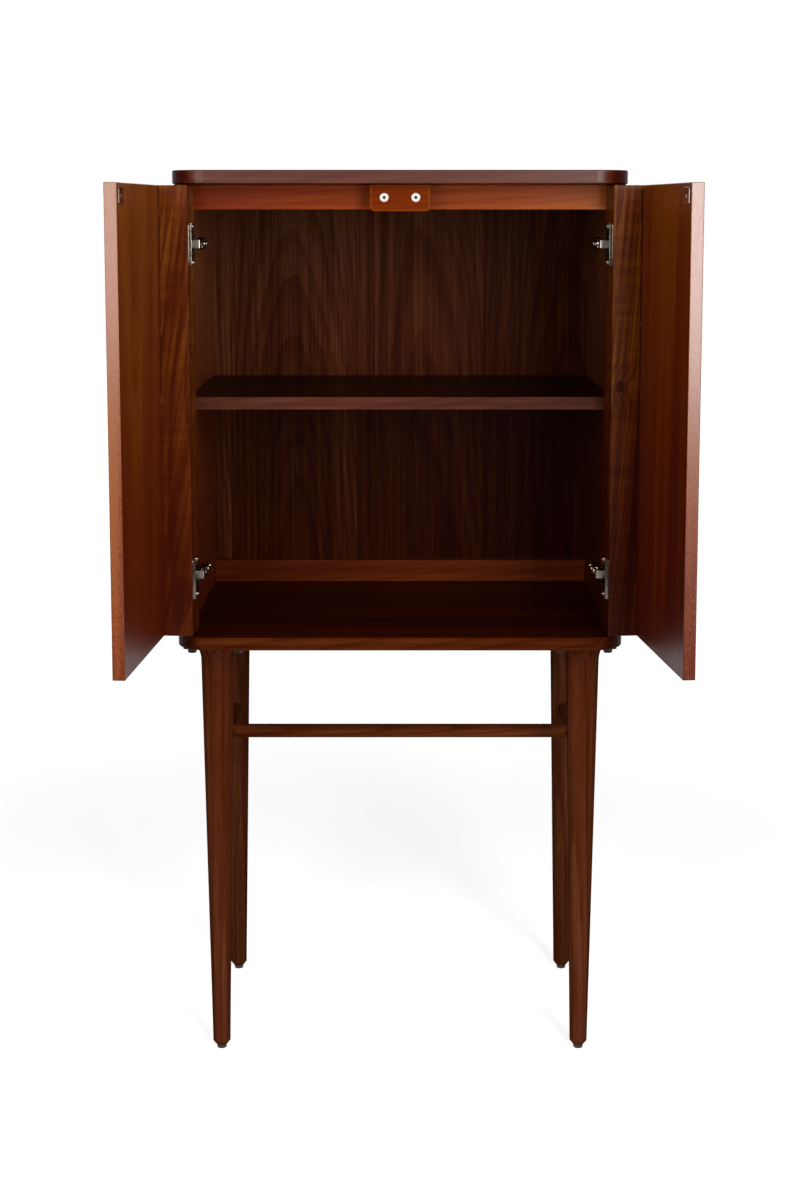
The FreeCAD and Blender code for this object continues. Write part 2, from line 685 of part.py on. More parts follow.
block = new_body("magnet_block")
block_sketch = sketch_on(block, "XZ_Plane")
outline(block_sketch, [
    ("-block_width / 2", "0", "block_corner"),
    ("block_width / 2", "0", "block_corner"),
    ("block_width / 2", "block_height", "block_ease"),
    ("-block_width / 2", "block_height", "block_ease"),
])
pad(block, block_sketch, "block_depth", back=True)
ease(block, "block_ease", lambda box: level(box.YMin, box.YMax, 0))
magnet_seats = [(x, "magnet_height - block_bottom") for x in MAGNET_X]
drill(block, "XZ_Plane", "0", magnet_seats, "magnet_radius + magnet_play", "magnet_thick - magnet_proud")
drill(block, "XZ_Plane", "0", magnet_seats, "magnet_bore", "magnet_screw_length - magnet_proud")
drill(block, "XZ_Plane", "-block_depth", [(x, "block_height / 2") for x, z in BLOCK_SCREWS],
      "block_screw_radius", "block_screw_length - front_rail_thick", ahead=True)
stand(block, y="block_front", z="block_bottom")

magnet = new_body("catch_magnet", is_piece=False)
turn(magnet, [
    ("magnet_bore", "-magnet_thick"),
    ("magnet_radius", "-magnet_thick"),
    ("magnet_radius", "0", "magnet_play"),
    ("magnet_sink", "0"),
    ("magnet_bore", "magnet_bore - magnet_sink"),
])
group("catch_magnets", magnet, [(FRONT, x, "magnet_face", "magnet_height") for x in MAGNET_X])

magnet_screw = new_body("magnet_screw", is_piece=False)
turn(magnet_screw, [
    ("0", "-magnet_screw_length"),
    ("magnet_bore", "-magnet_screw_length"),
    ("magnet_bore", "magnet_bore - magnet_sink"),
    ("magnet_sink - magnet_play", "-magnet_play"),
    ("0", "-magnet_play"),
])
group("magnet_screws", magnet_screw, [(FRONT, x, "magnet_face", "magnet_height") for x in MAGNET_X])

block_screw = screw("block_screw", "block_screw_radius", "block_screw_length", "block_head_radius",
                    "block_head_height")
group("block_screws", block_screw, [
    (BACK, x, "front_rail_y + front_rail_thick", z) for x, z in BLOCK_SCREWS
])


# ---------------------------------------------------------------------------------------------
# Doors, each drawn shut round its hinge line
# ---------------------------------------------------------------------------------------------
def door_stile(side):
    """Make the thick hinge stile: its rounded corner follows the slabs, its back face holds the cups."""
    inward = -SIDES[side]
    body = new_body(f"door_stile_{side}")
    sketch = sketch_on(body, "XY_Plane", "door_gap")
    outline(sketch, [
        (f"{-inward} * pivot_inset", "door_front", "corner_radius"),
        (f"{inward} * seam", "door_front"),
        (f"{inward} * seam", "pivot_depth", "board_ease"),
        (f"{-inward} * pivot_inset", "pivot_depth", "stile_back_radius"),
    ])
    pad(body, sketch, "door_height")
    ease_ends(body)
    groove = sketch_on(body, "XY_Plane", "door_gap")
    outline(groove, [
        (f"{inward} * seam", "tongue_middle - tongue_thick / 2"),
        (f"{inward} * seam", "tongue_middle + tongue_thick / 2"),
        (f"{inward} * (seam - tongue_length - glue_gap)", "tongue_middle + tongue_thick / 2"),
        (f"{inward} * (seam - tongue_length - glue_gap)", "tongue_middle - tongue_thick / 2"),
    ])
    pocket(body, groove, "door_height", ahead=True)
    cups = [(f"{inward} * cup_offset", hinge) for hinge in HINGES.values()]
    drill(body, "XZ_Plane", "-pivot_depth", cups, "cup_radius + cup_play",
          "cup_depth + cup_wall + cup_play", ahead=True)
    drill(body, "XZ_Plane", "-pivot_depth", cup_screw_spots(inward), "small_screw_radius",
          "small_screw_length - flange_thick", ahead=True)
    hang(body, side)


def ease_ends(body):
    """Round a door piece's upper and lower edges, but not where the leaf meets the stile."""
    ends = worth("door_gap"), worth("opening_height - door_gap")
    seam, tongue = worth("seam"), worth("tongue_length")
    front, back = worth("door_front"), worth("leaf_back")

    def wanted(box):
        nearest = min(abs(box.XMin), abs(box.XMax))
        furthest = max(abs(box.XMin), abs(box.XMax))
        at_seam = box.XLength < NEAR and seam - tongue - NEAR < nearest < seam + NEAR
        on_tongue = front + NEAR < box.YMin and box.YMax < back - NEAR and furthest < seam + NEAR
        return level(box.ZMin, box.ZMax, *ends) and not at_seam and not on_tongue

    ease(body, "board_ease", wanted)


def cup_screw_spots(inward):
    return [
        (f"{inward} * cup_offset", f"{hinge} + {way} * cup_screw_spacing / 2")
        for hinge in HINGES.values()
        for way in (-1, 1)
    ]


def door_leaf(side):
    """Make the thin leaf, with a tongue glued into the stile."""
    inward = -SIDES[side]
    body = new_body(f"door_leaf_{side}")
    sketch = sketch_on(body, "XY_Plane", "door_gap")
    outline(sketch, [
        (f"{inward} * seam", "door_front"),
        (f"{inward} * leaf_end", "door_front", "board_ease"),
        (f"{inward} * leaf_end", "leaf_back", "board_ease"),
        (f"{inward} * seam", "leaf_back"),
        (f"{inward} * seam", "tongue_middle + tongue_thick / 2"),
        (f"{inward} * (seam - tongue_length)", "tongue_middle + tongue_thick / 2"),
        (f"{inward} * (seam - tongue_length)", "tongue_middle - tongue_thick / 2"),
        (f"{inward} * seam", "tongue_middle - tongue_thick / 2"),
    ])
    pad(body, sketch, "door_height")
    ease_ends(body)
    drill(body, "XZ_Plane", "-leaf_back", [(f"{inward} * strike_x", "strike_z")], "strike_screw_radius",
          "strike_screw_length - strike_thick + strike_head_height", ahead=True)
    hang(body, side)


def strike_plate(side):
    """Make the steel plate on the leaf that meets the magnet."""
    inward = -SIDES[side]
    body = new_body(f"strike_plate_{side}")
    sketch = sketch_on(body, "XZ_Plane", "-leaf_back")
    near, far = f"{inward} * (strike_x - strike_width / 2)", f"{inward} * (strike_x + strike_width / 2)"
    outline(sketch, [
        (near, "strike_z - strike_height / 2", "strike_corner"),
        (far, "strike_z - strike_height / 2", "strike_corner"),
        (far, "strike_z + strike_height / 2", "strike_corner"),
        (near, "strike_z + strike_height / 2", "strike_corner"),
    ])
    pad(body, sketch, "strike_thick", back=True)
    middle = [(f"{inward} * strike_x", "strike_z")]
    drill(body, "XZ_Plane", "-leaf_back", middle, "strike_screw_radius", "strike_thick")
    drill(body, "XZ_Plane", "-(leaf_back + strike_thick)", middle, "strike_head_radius",
          "strike_head_height", ahead=True)
    hang(body, side)


def hinge_cup(side, place):
    """Make a hinge cup with its flange, sunk into the stile's back face."""
    inward = -SIDES[side]
    centre = f"{inward} * cup_offset"
    body = new_body(f"hinge_cup_{place}_{side}")
    bowl = sketch_on(body, "XZ_Plane", "-pivot_depth")
    circles(bowl, [(centre, "0")], "cup_radius")
    pad(body, bowl, "cup_depth + cup_wall")
    lip = sketch_on(body, "XZ_Plane", "-pivot_depth")
    circles(lip, [(centre, "0")], "cup_radius + cup_lip")
    pad(body, lip, "flange_thick", back=True)
    plate = sketch_on(body, "XZ_Plane", "-pivot_depth")
    behind, ahead = f"{inward} * (cup_offset - flange_behind)", f"{inward} * (cup_offset + flange_ahead)"
    outline(plate, [
        (behind, "-flange_length / 2", "flange_corner"),
        (ahead, "-flange_length / 2", "flange_corner"),
        (ahead, "flange_length / 2", "flange_corner"),
        (behind, "flange_length / 2", "flange_corner"),
    ])
    pad(body, plate, "flange_thick", back=True)
    drill(body, "XZ_Plane", "-(pivot_depth + flange_thick)", [(centre, "0")], "cup_inside",
          "flange_thick + cup_depth", ahead=True)
    screws = [(centre, f"{way} * cup_screw_spacing / 2") for way in (-1, 1)]
    drill(body, "XZ_Plane", "-pivot_depth", screws, "small_screw_radius", "flange_thick")
    drill(body, "XY_Plane", "0", [("0", "0")], "pin_radius", "2 * pin_half", both=True)
    hang(body, side, f"case_floor + {HINGES[place]}")


def hinge_arm(side, place):
    """Make the cranked arm that reaches from the pin in the cup to the mounting plate."""
    inward = -SIDES[side]
    body = new_body(f"hinge_arm_{place}_{side}")
    eye = sketch_on(body, "XY_Plane")
    circles(eye, [("0", "0")], "eye_radius")
    pad(body, eye, "arm_width", both=True)
    web = sketch_on(body, "XY_Plane")
    outline(web, [
        ("0", "-arm_thick / 2"),
        (f"{inward} * (arm_inside + arm_thick)", "-arm_thick / 2", "arm_bend + arm_thick / 2"),
        (f"{inward} * (arm_inside + arm_thick)", "arm_reach"),
        (f"{inward} * arm_inside", "arm_reach"),
        (f"{inward} * arm_inside", "arm_thick / 2", "arm_bend - arm_thick / 2"),
        ("0", "arm_thick / 2"),
    ])
    pad(body, web, "arm_width", both=True)
    for cheek_base in ("-arm_width / 2", "arm_width / 2 - arm_cheek_thick"):
        cheek = sketch_on(body, "XY_Plane", cheek_base)
        outline(cheek, [
            (f"{inward} * (arm_inside + arm_thick / 2)", "arm_cheek_start - arm_cheek"),
            (f"{inward} * (arm_inside + arm_thick / 2)", "arm_reach"),
            (f"{inward} * (arm_inside - arm_cheek)", "arm_reach"),
            (f"{inward} * (arm_inside - arm_cheek)", "arm_cheek_start"),
        ])
        pad(body, cheek, "arm_cheek_thick")
    drill(body, "XY_Plane", "0", [("0", "0")], "pin_radius + pin_clearance", "arm_width", both=True)
    drill(body, "YZ_Plane", f"{inward} * arm_inside", ARM_SCREWS, "arm_screw_radius", "arm_thick",
          ahead=inward > 0)
    stand(body, f"{SIDES[side]} * pivot_x", "pivot_y", f"case_floor + {HINGES[place]}")


def hinge_plate(side, place):
    """Make the mounting plate on the side panel: two wings and a rib under the arm."""
    inward = -SIDES[side]
    body = new_body(f"hinge_plate_{place}_{side}")
    wings = sketch_on(body, "YZ_Plane", f"{inward} * plate_base")
    outline(wings, [
        ("wing_middle - wing_width / 2", "-wing_length / 2", "wing_corner"),
        ("wing_middle + wing_width / 2", "-wing_length / 2", "wing_corner"),
        ("wing_middle + wing_width / 2", "wing_length / 2", "wing_corner"),
        ("wing_middle - wing_width / 2", "wing_length / 2", "wing_corner"),
    ])
    pad(body, wings, "wing_thick", back=inward < 0)
    rib = sketch_on(body, "YZ_Plane", f"{inward} * plate_base")
    outline(rib, [
        ("rib_start", "-rib_half"),
        ("arm_reach", "-rib_half"),
        ("arm_reach", "rib_half"),
        ("rib_start", "rib_half"),
    ])
    pad(body, rib, "arm_inside - plate_base", back=inward < 0)
    screws = [("wing_middle", f"{way} * wing_screw_spacing / 2") for way in (-1, 1)]
    drill(body, "YZ_Plane", f"{inward} * plate_base", screws, "small_screw_radius", "wing_thick",
          ahead=inward > 0)
    drill(body, "YZ_Plane", f"{inward} * arm_inside", ARM_SCREWS, "arm_screw_radius",
          "arm_screw_length - arm_thick", ahead=inward < 0)
    stand(body, f"{SIDES[side]} * pivot_x", "pivot_y", f"case_floor + {HINGES[place]}")


small_screw = screw("small_screw", "small_screw_radius", "small_screw_length", "small_head_radius",
                    "small_head_height")
arm_screw = screw("arm_screw", "arm_screw_radius", "arm_screw_length", "small_head_radius",
                  "small_head_height")
hinge_pin = rod("hinge_pin", "pin_radius", "2 * pin_half")
strike_screw = screw("strike_screw", "strike_screw_radius",
                     "strike_screw_length - strike_thick + strike_head_height", "strike_head_radius",
                     "strike_head_height")

for side, sign in SIDES.items():
    door_leaf(side)
    door_stile(side)
    strike_plate(side)
    fastener = group(f"strike_screw_{side}", strike_screw, [
        (BACK, f"{-sign} * strike_x", "leaf_back + strike_thick - strike_head_height", "strike_z")
    ])
    hang(fastener, side)
    for place in HINGES:
        hinge_cup(side, place)
        hinge_arm(side, place)
        hinge_plate(side, place)
    screws = group(f"cup_screws_{side}", small_screw, [
        (BACK, x, "pivot_depth + flange_thick", z) for x, z in cup_screw_spots(-sign)
    ])
    hang(screws, side)
    pins = group(f"hinge_pins_{side}", hinge_pin, [
        (UP, "0", "0", f"{hinge} - pin_half") for hinge in HINGES.values()
    ])
    hang(pins, side)

group("plate_screws", small_screw, [
    (X_WAY[-sign], f"{x} - {sign} * wing_thick", y, f"case_floor + {z}")
    for sign in SIDES.values()
    for x, y, z in wing_screws(sign)
])
group("arm_screws", arm_screw, [
    (X_WAY[-sign], f"{sign} * (pivot_x - arm_inside - arm_thick)", f"pivot_y + {y}",
     f"case_floor + {hinge} + {z}")
    for sign in SIDES.values()
    for hinge in HINGES.values()
    for y, z in ARM_SCREWS
])


# ---------------------------------------------------------------------------------------------
# Legs and stretchers
# ---------------------------------------------------------------------------------------------
def leg_profile(sketch):
    """Draw half of a leg: chamfered foot, straight taper and a hollow flare under the plate."""
    foot, height = worth("leg_foot_radius"), worth("glide_height")
    shoulder = height + worth("leg_chamfer_height")
    neck, neck_z, top_z = worth("leg_neck_radius"), worth("neck_height"), worth("leg_top")
    middle = V(worth("flare_middle"), neck_z, 0)
    reach = worth("leg_flare_radius")
    rim = middle.x - (reach**2 - (top_z - neck_z)**2) ** 0.5
    corners = [
        V(rim, top_z, 0),
        V(0, top_z, 0),
        V(0, height, 0),
        V(foot - worth("leg_chamfer"), height, 0),
        V(foot, shoulder, 0),
        V(neck, neck_z, 0),
    ]
    for first, last in zip(corners, corners[1:]):
        sketch.addGeometry(Part.LineSegment(first, last), False)
    end = atan2(top_z - neck_z, rim - middle.x)
    flare = sketch.addGeometry(Part.ArcOfCircle(Part.Circle(middle, UP, reach), end, pi), False)
    for line in range(4):
        sketch.addConstraint(Sketcher.Constraint("Coincident", line, 2, line + 1, 1))
    sketch.addConstraint(Sketcher.Constraint("Coincident", 4, 2, flare, 2))
    sketch.addConstraint(Sketcher.Constraint("Coincident", flare, 1, 0, 1))
    fixed = [
        (0, 2, "0", "leg_top"),
        (1, 2, "0", "glide_height"),
        (2, 2, "leg_foot_radius - leg_chamfer", "glide_height"),
        (3, 2, "leg_foot_radius", "glide_height + leg_chamfer_height"),
        (flare, 3, "flare_middle", "neck_height"),
    ]
    for geometry, point, x, y in fixed:
        fix(sketch, "DistanceX", geometry, point, x)
        fix(sketch, "DistanceY", geometry, point, y)
    fix(sketch, "DistanceY", flare, 2, "neck_height")
    fix(sketch, "DistanceY", flare, 1, "leg_top")
    fix_radius(sketch, flare, "leg_flare_radius")


def leg(row, side):
    body = new_body(f"leg_{row}_{side}")
    sketch = sketch_on(body, "XZ_Plane")
    leg_profile(sketch)
    spin(body, sketch)
    drill(body, "XY_Plane", "leg_top", [("0", "0")], "hanger_radius", "hanger_in_leg")
    towards_back = -ROWS[row]
    drill(body, "XZ_Plane", f"{-towards_back} * stretcher_stop", [("0", "stretcher_height")],
          "stretcher_radius + glue_gap", "leg_neck_radius", ahead=towards_back < 0)
    stand(body, *LEG_SPOTS[f"{row}_{side}"])


def leg_plate(row, side):
    body = new_body(f"leg_plate_{row}_{side}")
    sketch = sketch_on(body, "XY_Plane")
    outline(sketch, [
        ("-leg_plate_half", "-leg_plate_half", "leg_plate_corner"),
        ("leg_plate_half", "-leg_plate_half", "leg_plate_corner"),
        ("leg_plate_half", "leg_plate_half", "leg_plate_corner"),
        ("-leg_plate_half", "leg_plate_half", "leg_plate_corner"),
    ])
    pad(body, sketch, "leg_plate_thick")
    drill(body, "XY_Plane", "leg_plate_thick", [("0", "0")], "hanger_radius", "leg_plate_thick")
    bolts = [(f"{i} * leg_bolt_offset", f"{j} * leg_bolt_offset") for i in (-1, 1) for j in (-1, 1)]
    drill(body, "XY_Plane", "leg_plate_thick", bolts, "leg_bolt_radius", "leg_plate_thick")
    stand(body, *LEG_SPOTS[f"{row}_{side}"], "leg_top")


def leg_glide(row, side):
    body = new_body(f"leg_glide_{row}_{side}")
    turn(body, [
        ("0", "0"),
        ("glide_radius", "0", "glide_ease"),
        ("glide_radius", "glide_height"),
        ("0", "glide_height"),
    ])
    stand(body, *LEG_SPOTS[f"{row}_{side}"])


for row in ROWS:
    for side in SIDES:
        leg(row, side)
        leg_plate(row, side)
        leg_glide(row, side)

leg_bolt = new_body("leg_bolt", is_piece=False)
turn(leg_bolt, [
    ("0", "-(leg_plate_thick + leg_bolt_length)"),
    ("leg_bolt_radius", "-(leg_plate_thick + leg_bolt_length)"),
    ("leg_bolt_radius", "0"),
    ("washer_radius", "0"),
    ("washer_radius", "washer_thick"),
    ("0", "washer_thick"),
])
hexagon = sketch_on(leg_bolt, "XY_Plane", "washer_thick")
point_x, corner_x = "leg_bolt_head * 2 / sqrt(3)", "leg_bolt_head / sqrt(3)"
outline(hexagon, [
    (point_x, "0"),
    (corner_x, "leg_bolt_head"),
    (f"-{corner_x}", "leg_bolt_head"),
    (f"-{point_x}", "0"),
    (f"-{corner_x}", "-leg_bolt_head"),
    (corner_x, "-leg_bolt_head"),
])
pad(leg_bolt, hexagon, "leg_bolt_head_height")
group("plate_bolts", leg_bolt, [(DOWN, x, y, "leg_top") for x, y in BOLT_SPOTS])

hanger = rod("hanger_bolt", "hanger_radius", "hanger_in_leg + leg_plate_thick + hanger_in_slab")
group("hanger_bolts", hanger, [(UP, x, y, "leg_top - hanger_in_leg") for x, y in LEG_SPOTS.values()])

for side, sign in SIDES.items():
    stretcher = new_body(f"side_stretcher_{side}")
    section = sketch_on(stretcher, "XZ_Plane")
    circles(section, [("0", "0")], "stretcher_radius")
    pad(stretcher, section, "2 * stretcher_half", both=True)
    drill(stretcher, "YZ_Plane", f"{-sign} * (stretcher_radius - tenon_length)", [("0", "0")],
          "tenon_radius + glue_gap", "stretcher_radius", ahead=sign < 0)
    stand(stretcher, f"{sign} * leg_x", z="stretcher_height")

cross_stretcher = new_body("cross_stretcher")
cross_section = sketch_on(cross_stretcher, "YZ_Plane")
circles(cross_section, [("0", "0")], "stretcher_radius")
pad(cross_stretcher, cross_section, "2 * leg_x", both=True)
drill(cross_stretcher, "XZ_Plane", "0", [(f"{sign} * leg_x", "0") for sign in SIDES.values()],
      "stretcher_radius + glue_gap", "4 * stretcher_radius", both=True)
tenon_section = sketch_on(cross_stretcher, "YZ_Plane")
circles(tenon_section, [("0", "0")], "tenon_radius")
pad(cross_stretcher, tenon_section, "2 * (leg_x - stretcher_radius + tenon_length - glue_gap)", both=True)
stand(cross_stretcher, z="stretcher_height")

# ---------------------------------------------------------------------------------------------
# Check and write
# ---------------------------------------------------------------------------------------------
doc.recompute()
for thing in doc.Objects:
    if "Invalid" in thing.State or "Error" in thing.State:
        raise RuntimeError(f"{thing.Label} did not recompute: {thing.State}")
os.makedirs("parts", exist_ok=True)
for piece in pieces:
    if piece.Shape.isNull() or not piece.Shape.isValid():
        raise RuntimeError(f"{piece.Label} has no valid shape")
    piece.Shape.exportStep(f"parts/{piece.Label}.step")
    print(piece.Label, len(piece.Shape.Solids), round(piece.Shape.Volume))
print(len(pieces), "pieces")
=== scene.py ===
"""Dress a walnut bar cabinet: case, wrapping doors, cup hinges, magnet catch and turned legs.

Everything is in metres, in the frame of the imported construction: the front faces -Y, Z is up and
the doors stand open at rest.
"""

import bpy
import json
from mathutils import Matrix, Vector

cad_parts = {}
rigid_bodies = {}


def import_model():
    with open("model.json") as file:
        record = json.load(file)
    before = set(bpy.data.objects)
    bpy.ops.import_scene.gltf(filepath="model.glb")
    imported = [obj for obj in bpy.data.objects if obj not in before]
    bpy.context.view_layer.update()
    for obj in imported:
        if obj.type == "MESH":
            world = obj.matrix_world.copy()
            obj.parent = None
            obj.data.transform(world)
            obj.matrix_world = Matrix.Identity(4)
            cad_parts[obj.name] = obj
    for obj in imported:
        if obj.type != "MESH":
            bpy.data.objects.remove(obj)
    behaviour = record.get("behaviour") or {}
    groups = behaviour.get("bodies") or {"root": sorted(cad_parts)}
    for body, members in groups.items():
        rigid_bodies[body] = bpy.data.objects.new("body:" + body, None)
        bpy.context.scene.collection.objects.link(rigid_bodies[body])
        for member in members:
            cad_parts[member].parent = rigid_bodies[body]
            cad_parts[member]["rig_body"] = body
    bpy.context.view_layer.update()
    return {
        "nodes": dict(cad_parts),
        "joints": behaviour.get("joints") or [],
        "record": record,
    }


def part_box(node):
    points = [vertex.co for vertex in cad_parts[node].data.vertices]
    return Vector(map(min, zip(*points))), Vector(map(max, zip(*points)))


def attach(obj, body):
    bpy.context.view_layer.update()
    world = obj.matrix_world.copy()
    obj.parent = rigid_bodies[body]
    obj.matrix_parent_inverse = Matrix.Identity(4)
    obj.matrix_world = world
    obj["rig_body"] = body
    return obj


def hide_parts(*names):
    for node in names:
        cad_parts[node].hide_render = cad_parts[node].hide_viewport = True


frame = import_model()

import json
import logging
import math
from dataclasses import astuple, dataclass, field, replace
from enum import Enum
from typing import Any, Iterable, Mapping, Sequence

import bmesh
import bpy
from mathutils import Euler, Matrix, Vector

log = logging.getLogger("cabinet")

Colour = tuple[float, float, float, float]
Number = "Wire | float"

MM = 0.001
WHITE: Colour = (1.0, 1.0, 1.0, 1.0)


# ---------------------------------------------------------------------------------------------
# Node graphs
# ---------------------------------------------------------------------------------------------
class Wire:
    """One number on its way through a node tree. Arithmetic on it adds Math nodes."""

    def __init__(self, graph: "Graph", socket: bpy.types.NodeSocket) -> None:
        """Hold a socket and the graph that it belongs to."""
        self.graph = graph
        self.socket = socket

    def maths(self, operation: str, *values: Number) -> "Wire":
        """Add a Math node.

        Args:
            operation: The node's operation.
            values: Its inputs, in order.

        Returns:
            The node's result.
        """
        sockets = dict(enumerate(values))
        return self.graph.node("ShaderNodeMath", {"operation": operation}, sockets)

    def __add__(self, other: Number) -> "Wire":
        """Add."""
        return self.maths("ADD", self, other)

    __radd__ = __add__

    def __sub__(self, other: Number) -> "Wire":
        """Subtract the other."""
        return self.maths("SUBTRACT", self, other)

    def __rsub__(self, other: Number) -> "Wire":
        """Subtract from the other."""
        return self.maths("SUBTRACT", other, self)

    def __mul__(self, other: Number) -> "Wire":
        """Multiply."""
        return self.maths("MULTIPLY", self, other)

    __rmul__ = __mul__

    def __truediv__(self, other: Number) -> "Wire":
        """Divide by the other."""
        return self.maths("DIVIDE", self, other)

    def __rtruediv__(self, other: Number) -> "Wire":
        """Divide the other."""
        return self.maths("DIVIDE", other, self)

    def __pow__(self, other: Number) -> "Wire":
        """Raise to a power."""
        return self.maths("POWER", self, other)

    def __rpow__(self, other: Number) -> "Wire":
        """Raise the other to this power."""
        return self.maths("POWER", other, self)

    def __abs__(self) -> "Wire":
        """Drop the sign."""
        return self.maths("ABSOLUTE", self)

    def root(self) -> "Wire":
        """Take the square root."""
        return self.maths("SQRT", self)

    def whole(self) -> "Wire":
        """Round down."""
        return self.maths("FLOOR", self)

    def part(self) -> "Wire":
        """Keep what lies behind the decimal point."""
        return self.maths("FRACT", self)

    def sine(self) -> "Wire":
        """Take the sine of an angle in radians."""
        return self.maths("SINE", self)

    def cosine(self) -> "Wire":
        """Take the cosine of an angle in radians."""
        return self.maths("COSINE", self)

    def at_least(self, other: Number) -> "Wire":
        """Take the larger of two numbers."""
        return self.maths("MAXIMUM", self, other)

    def at_most(self, other: Number) -> "Wire":
        """Take the smaller of two numbers."""
        return self.maths("MINIMUM", self, other)

    def below(self, other: Number) -> "Wire":
        """Give 1 where this is the smaller number, and 0 elsewhere."""
        return self.maths("LESS_THAN", self, other)

    def rise(self, start: float, end: float) -> "Wire":
        """Rise smoothly from 0 at the start to 1 at the end."""
        settings = {"interpolation_type": "SMOOTHSTEP"}
        return self.graph.node("ShaderNodeMapRange", settings, {0: self, 1: start, 2: end})

    def fall(self, start: float, end: float) -> "Wire":
        """Fall smoothly from 1 at the start to 0 at the end."""
        return 1.0 - self.rise(start, end)


class Graph:
    """A node tree under construction, of a material or of a shape made by rule."""

    def __init__(self, tree: bpy.types.NodeTree) -> None:
        """Take an empty tree."""
        self.tree = tree

    def add(
        self,
        kind: str,
        settings: Mapping[str, Any] | None = None,
        sockets: Mapping[Any, Any] | None = None,
    ) -> bpy.types.Node:
        """Add a node.

        Args:
            kind: The node's type.
            settings: Its own settings, set first. "stops" are a ramp's places and colours.
            sockets: Values or links of its inputs, by name or number.

        Returns:
            The node.
        """
        node = self.tree.nodes.new(kind)
        for name, value in (settings or {}).items():
            if name == "stops":
                self._set_stops(node.color_ramp, value)
            else:
                setattr(node, name, value)
        for key, value in (sockets or {}).items():
            if isinstance(value, Wire):
                self.tree.links.new(value.socket, node.inputs[key])
            else:
                node.inputs[key].default_value = value
        return node

    def node(self, kind: str, settings: Mapping[str, Any] | None = None,
             sockets: Mapping[Any, Any] | None = None, output: Any = 0) -> Wire:
        """Add a node, as add does, and return one of its outputs as a Wire."""
        return self.out(self.add(kind, settings, sockets), output)

    def out(self, node: bpy.types.Node, output: Any = 0) -> Wire:
        """Take one output of a node."""
        return Wire(self, node.outputs[output])

    @staticmethod
    def _set_stops(ramp: bpy.types.ColorRamp, stops: Sequence[tuple[float, Colour]]) -> None:
        """Give a ramp its stops.

        Args:
            ramp: The ramp.
            stops: Places and colours.
        """
        while len(ramp.elements) < len(stops):
            ramp.elements.new(0.5)
        for element, (place, colour) in zip(ramp.elements, stops):
            element.position = place
            element.color = colour

    def split(self, vector: Wire) -> tuple[Wire, Wire, Wire]:
        """Split a vector into its three numbers."""
        node = self.add("ShaderNodeSeparateXYZ", None, {0: vector})
        return self.out(node, 0), self.out(node, 1), self.out(node, 2)

    def join(self, x: Number, y: Number, z: Number) -> Wire:
        """Join three numbers into a vector."""
        return self.node("ShaderNodeCombineXYZ", None, {0: x, 1: y, 2: z})

    def stretch(self, vector: Wire, cells: "Cells") -> Wire:
        """Scale a place to a pattern's cells."""
        sockets = {0: vector, 1: cells.value}
        return self.node("ShaderNodeVectorMath", {"operation": "MULTIPLY"}, sockets)

    def noise(self, vector: Wire, cells: "Cells | None" = None, detail: float = 2.0,
              roughness: float = 0.5, output: str = "Fac") -> Wire:
        """Add soft noise, which runs from 0 to 1 with its middle at 0.5.

        Args:
            vector: Place that it is drawn at.
            cells: The pattern's cells, or None for one cell to the unit.
            detail: Number of finer layers on top of the first.
            roughness: How strongly they show.
            output: "Fac" for one number, or "Color" for three.

        Returns:
            The noise.
        """
        spot = self.stretch(vector, cells) if cells else vector
        sockets = {"Vector": spot, "Scale": 1.0, "Detail": detail, "Roughness": roughness}
        return self.node("ShaderNodeTexNoise", None, sockets, output)

    def place(self) -> Wire:
        """Read the place on the piece."""
        return self.node("ShaderNodeTexCoord", output="Object")

    def turned(self, vector: Wire, turn: Sequence[float],
               centre: Sequence[float] = (0.0, 0.0, 0.0)) -> Wire:
        """Measure a place from another centre and along turned axes."""
        sockets = {"Vector": vector, "Location": centre, "Rotation": turn}
        return self.node("ShaderNodeMapping", {"vector_type": "TEXTURE"}, sockets)

    def blend(self, factor: Number, first: Any, second: Any) -> Wire:
        """Mix two colours."""
        sockets = {0: factor, 6: first, 7: second}
        return self.node("ShaderNodeMix", {"data_type": "RGBA"}, sockets, 2)

    def ramp(self, number: Wire, stops: Sequence[tuple[float, Colour]]) -> Wire:
        """Turn a number into a colour."""
        return self.node("ShaderNodeValToRGB", {"stops": stops}, {0: number}, "Color")

    def bump(self, height: Wire, strength: float, distance: float) -> Wire:
        """Turn a fine relief into a normal."""
        sockets = {"Strength": strength, "Distance": distance, "Height": height}
        return self.node("ShaderNodeBump", None, sockets)


def distance(first: Wire, second: Wire) -> Wire:
    """Measure a distance from its parts along two axes."""
    return (first * first + second * second).root()


def shade(code: str) -> Colour:
    """Turn a colour as seen on screen into a linear one.

    Args:
        code: The colour, such as "5c2d1a".

    Returns:
        The colour with an alpha of 1.
    """
    parts = [int(code[i:i + 2], 16) / 255 for i in (0, 2, 4)]
    red, green, blue = (c / 12.92 if c <= 0.04045 else ((c + 0.055) / 1.055) ** 2.4 for c in parts)
    return red, green, blue, 1.0


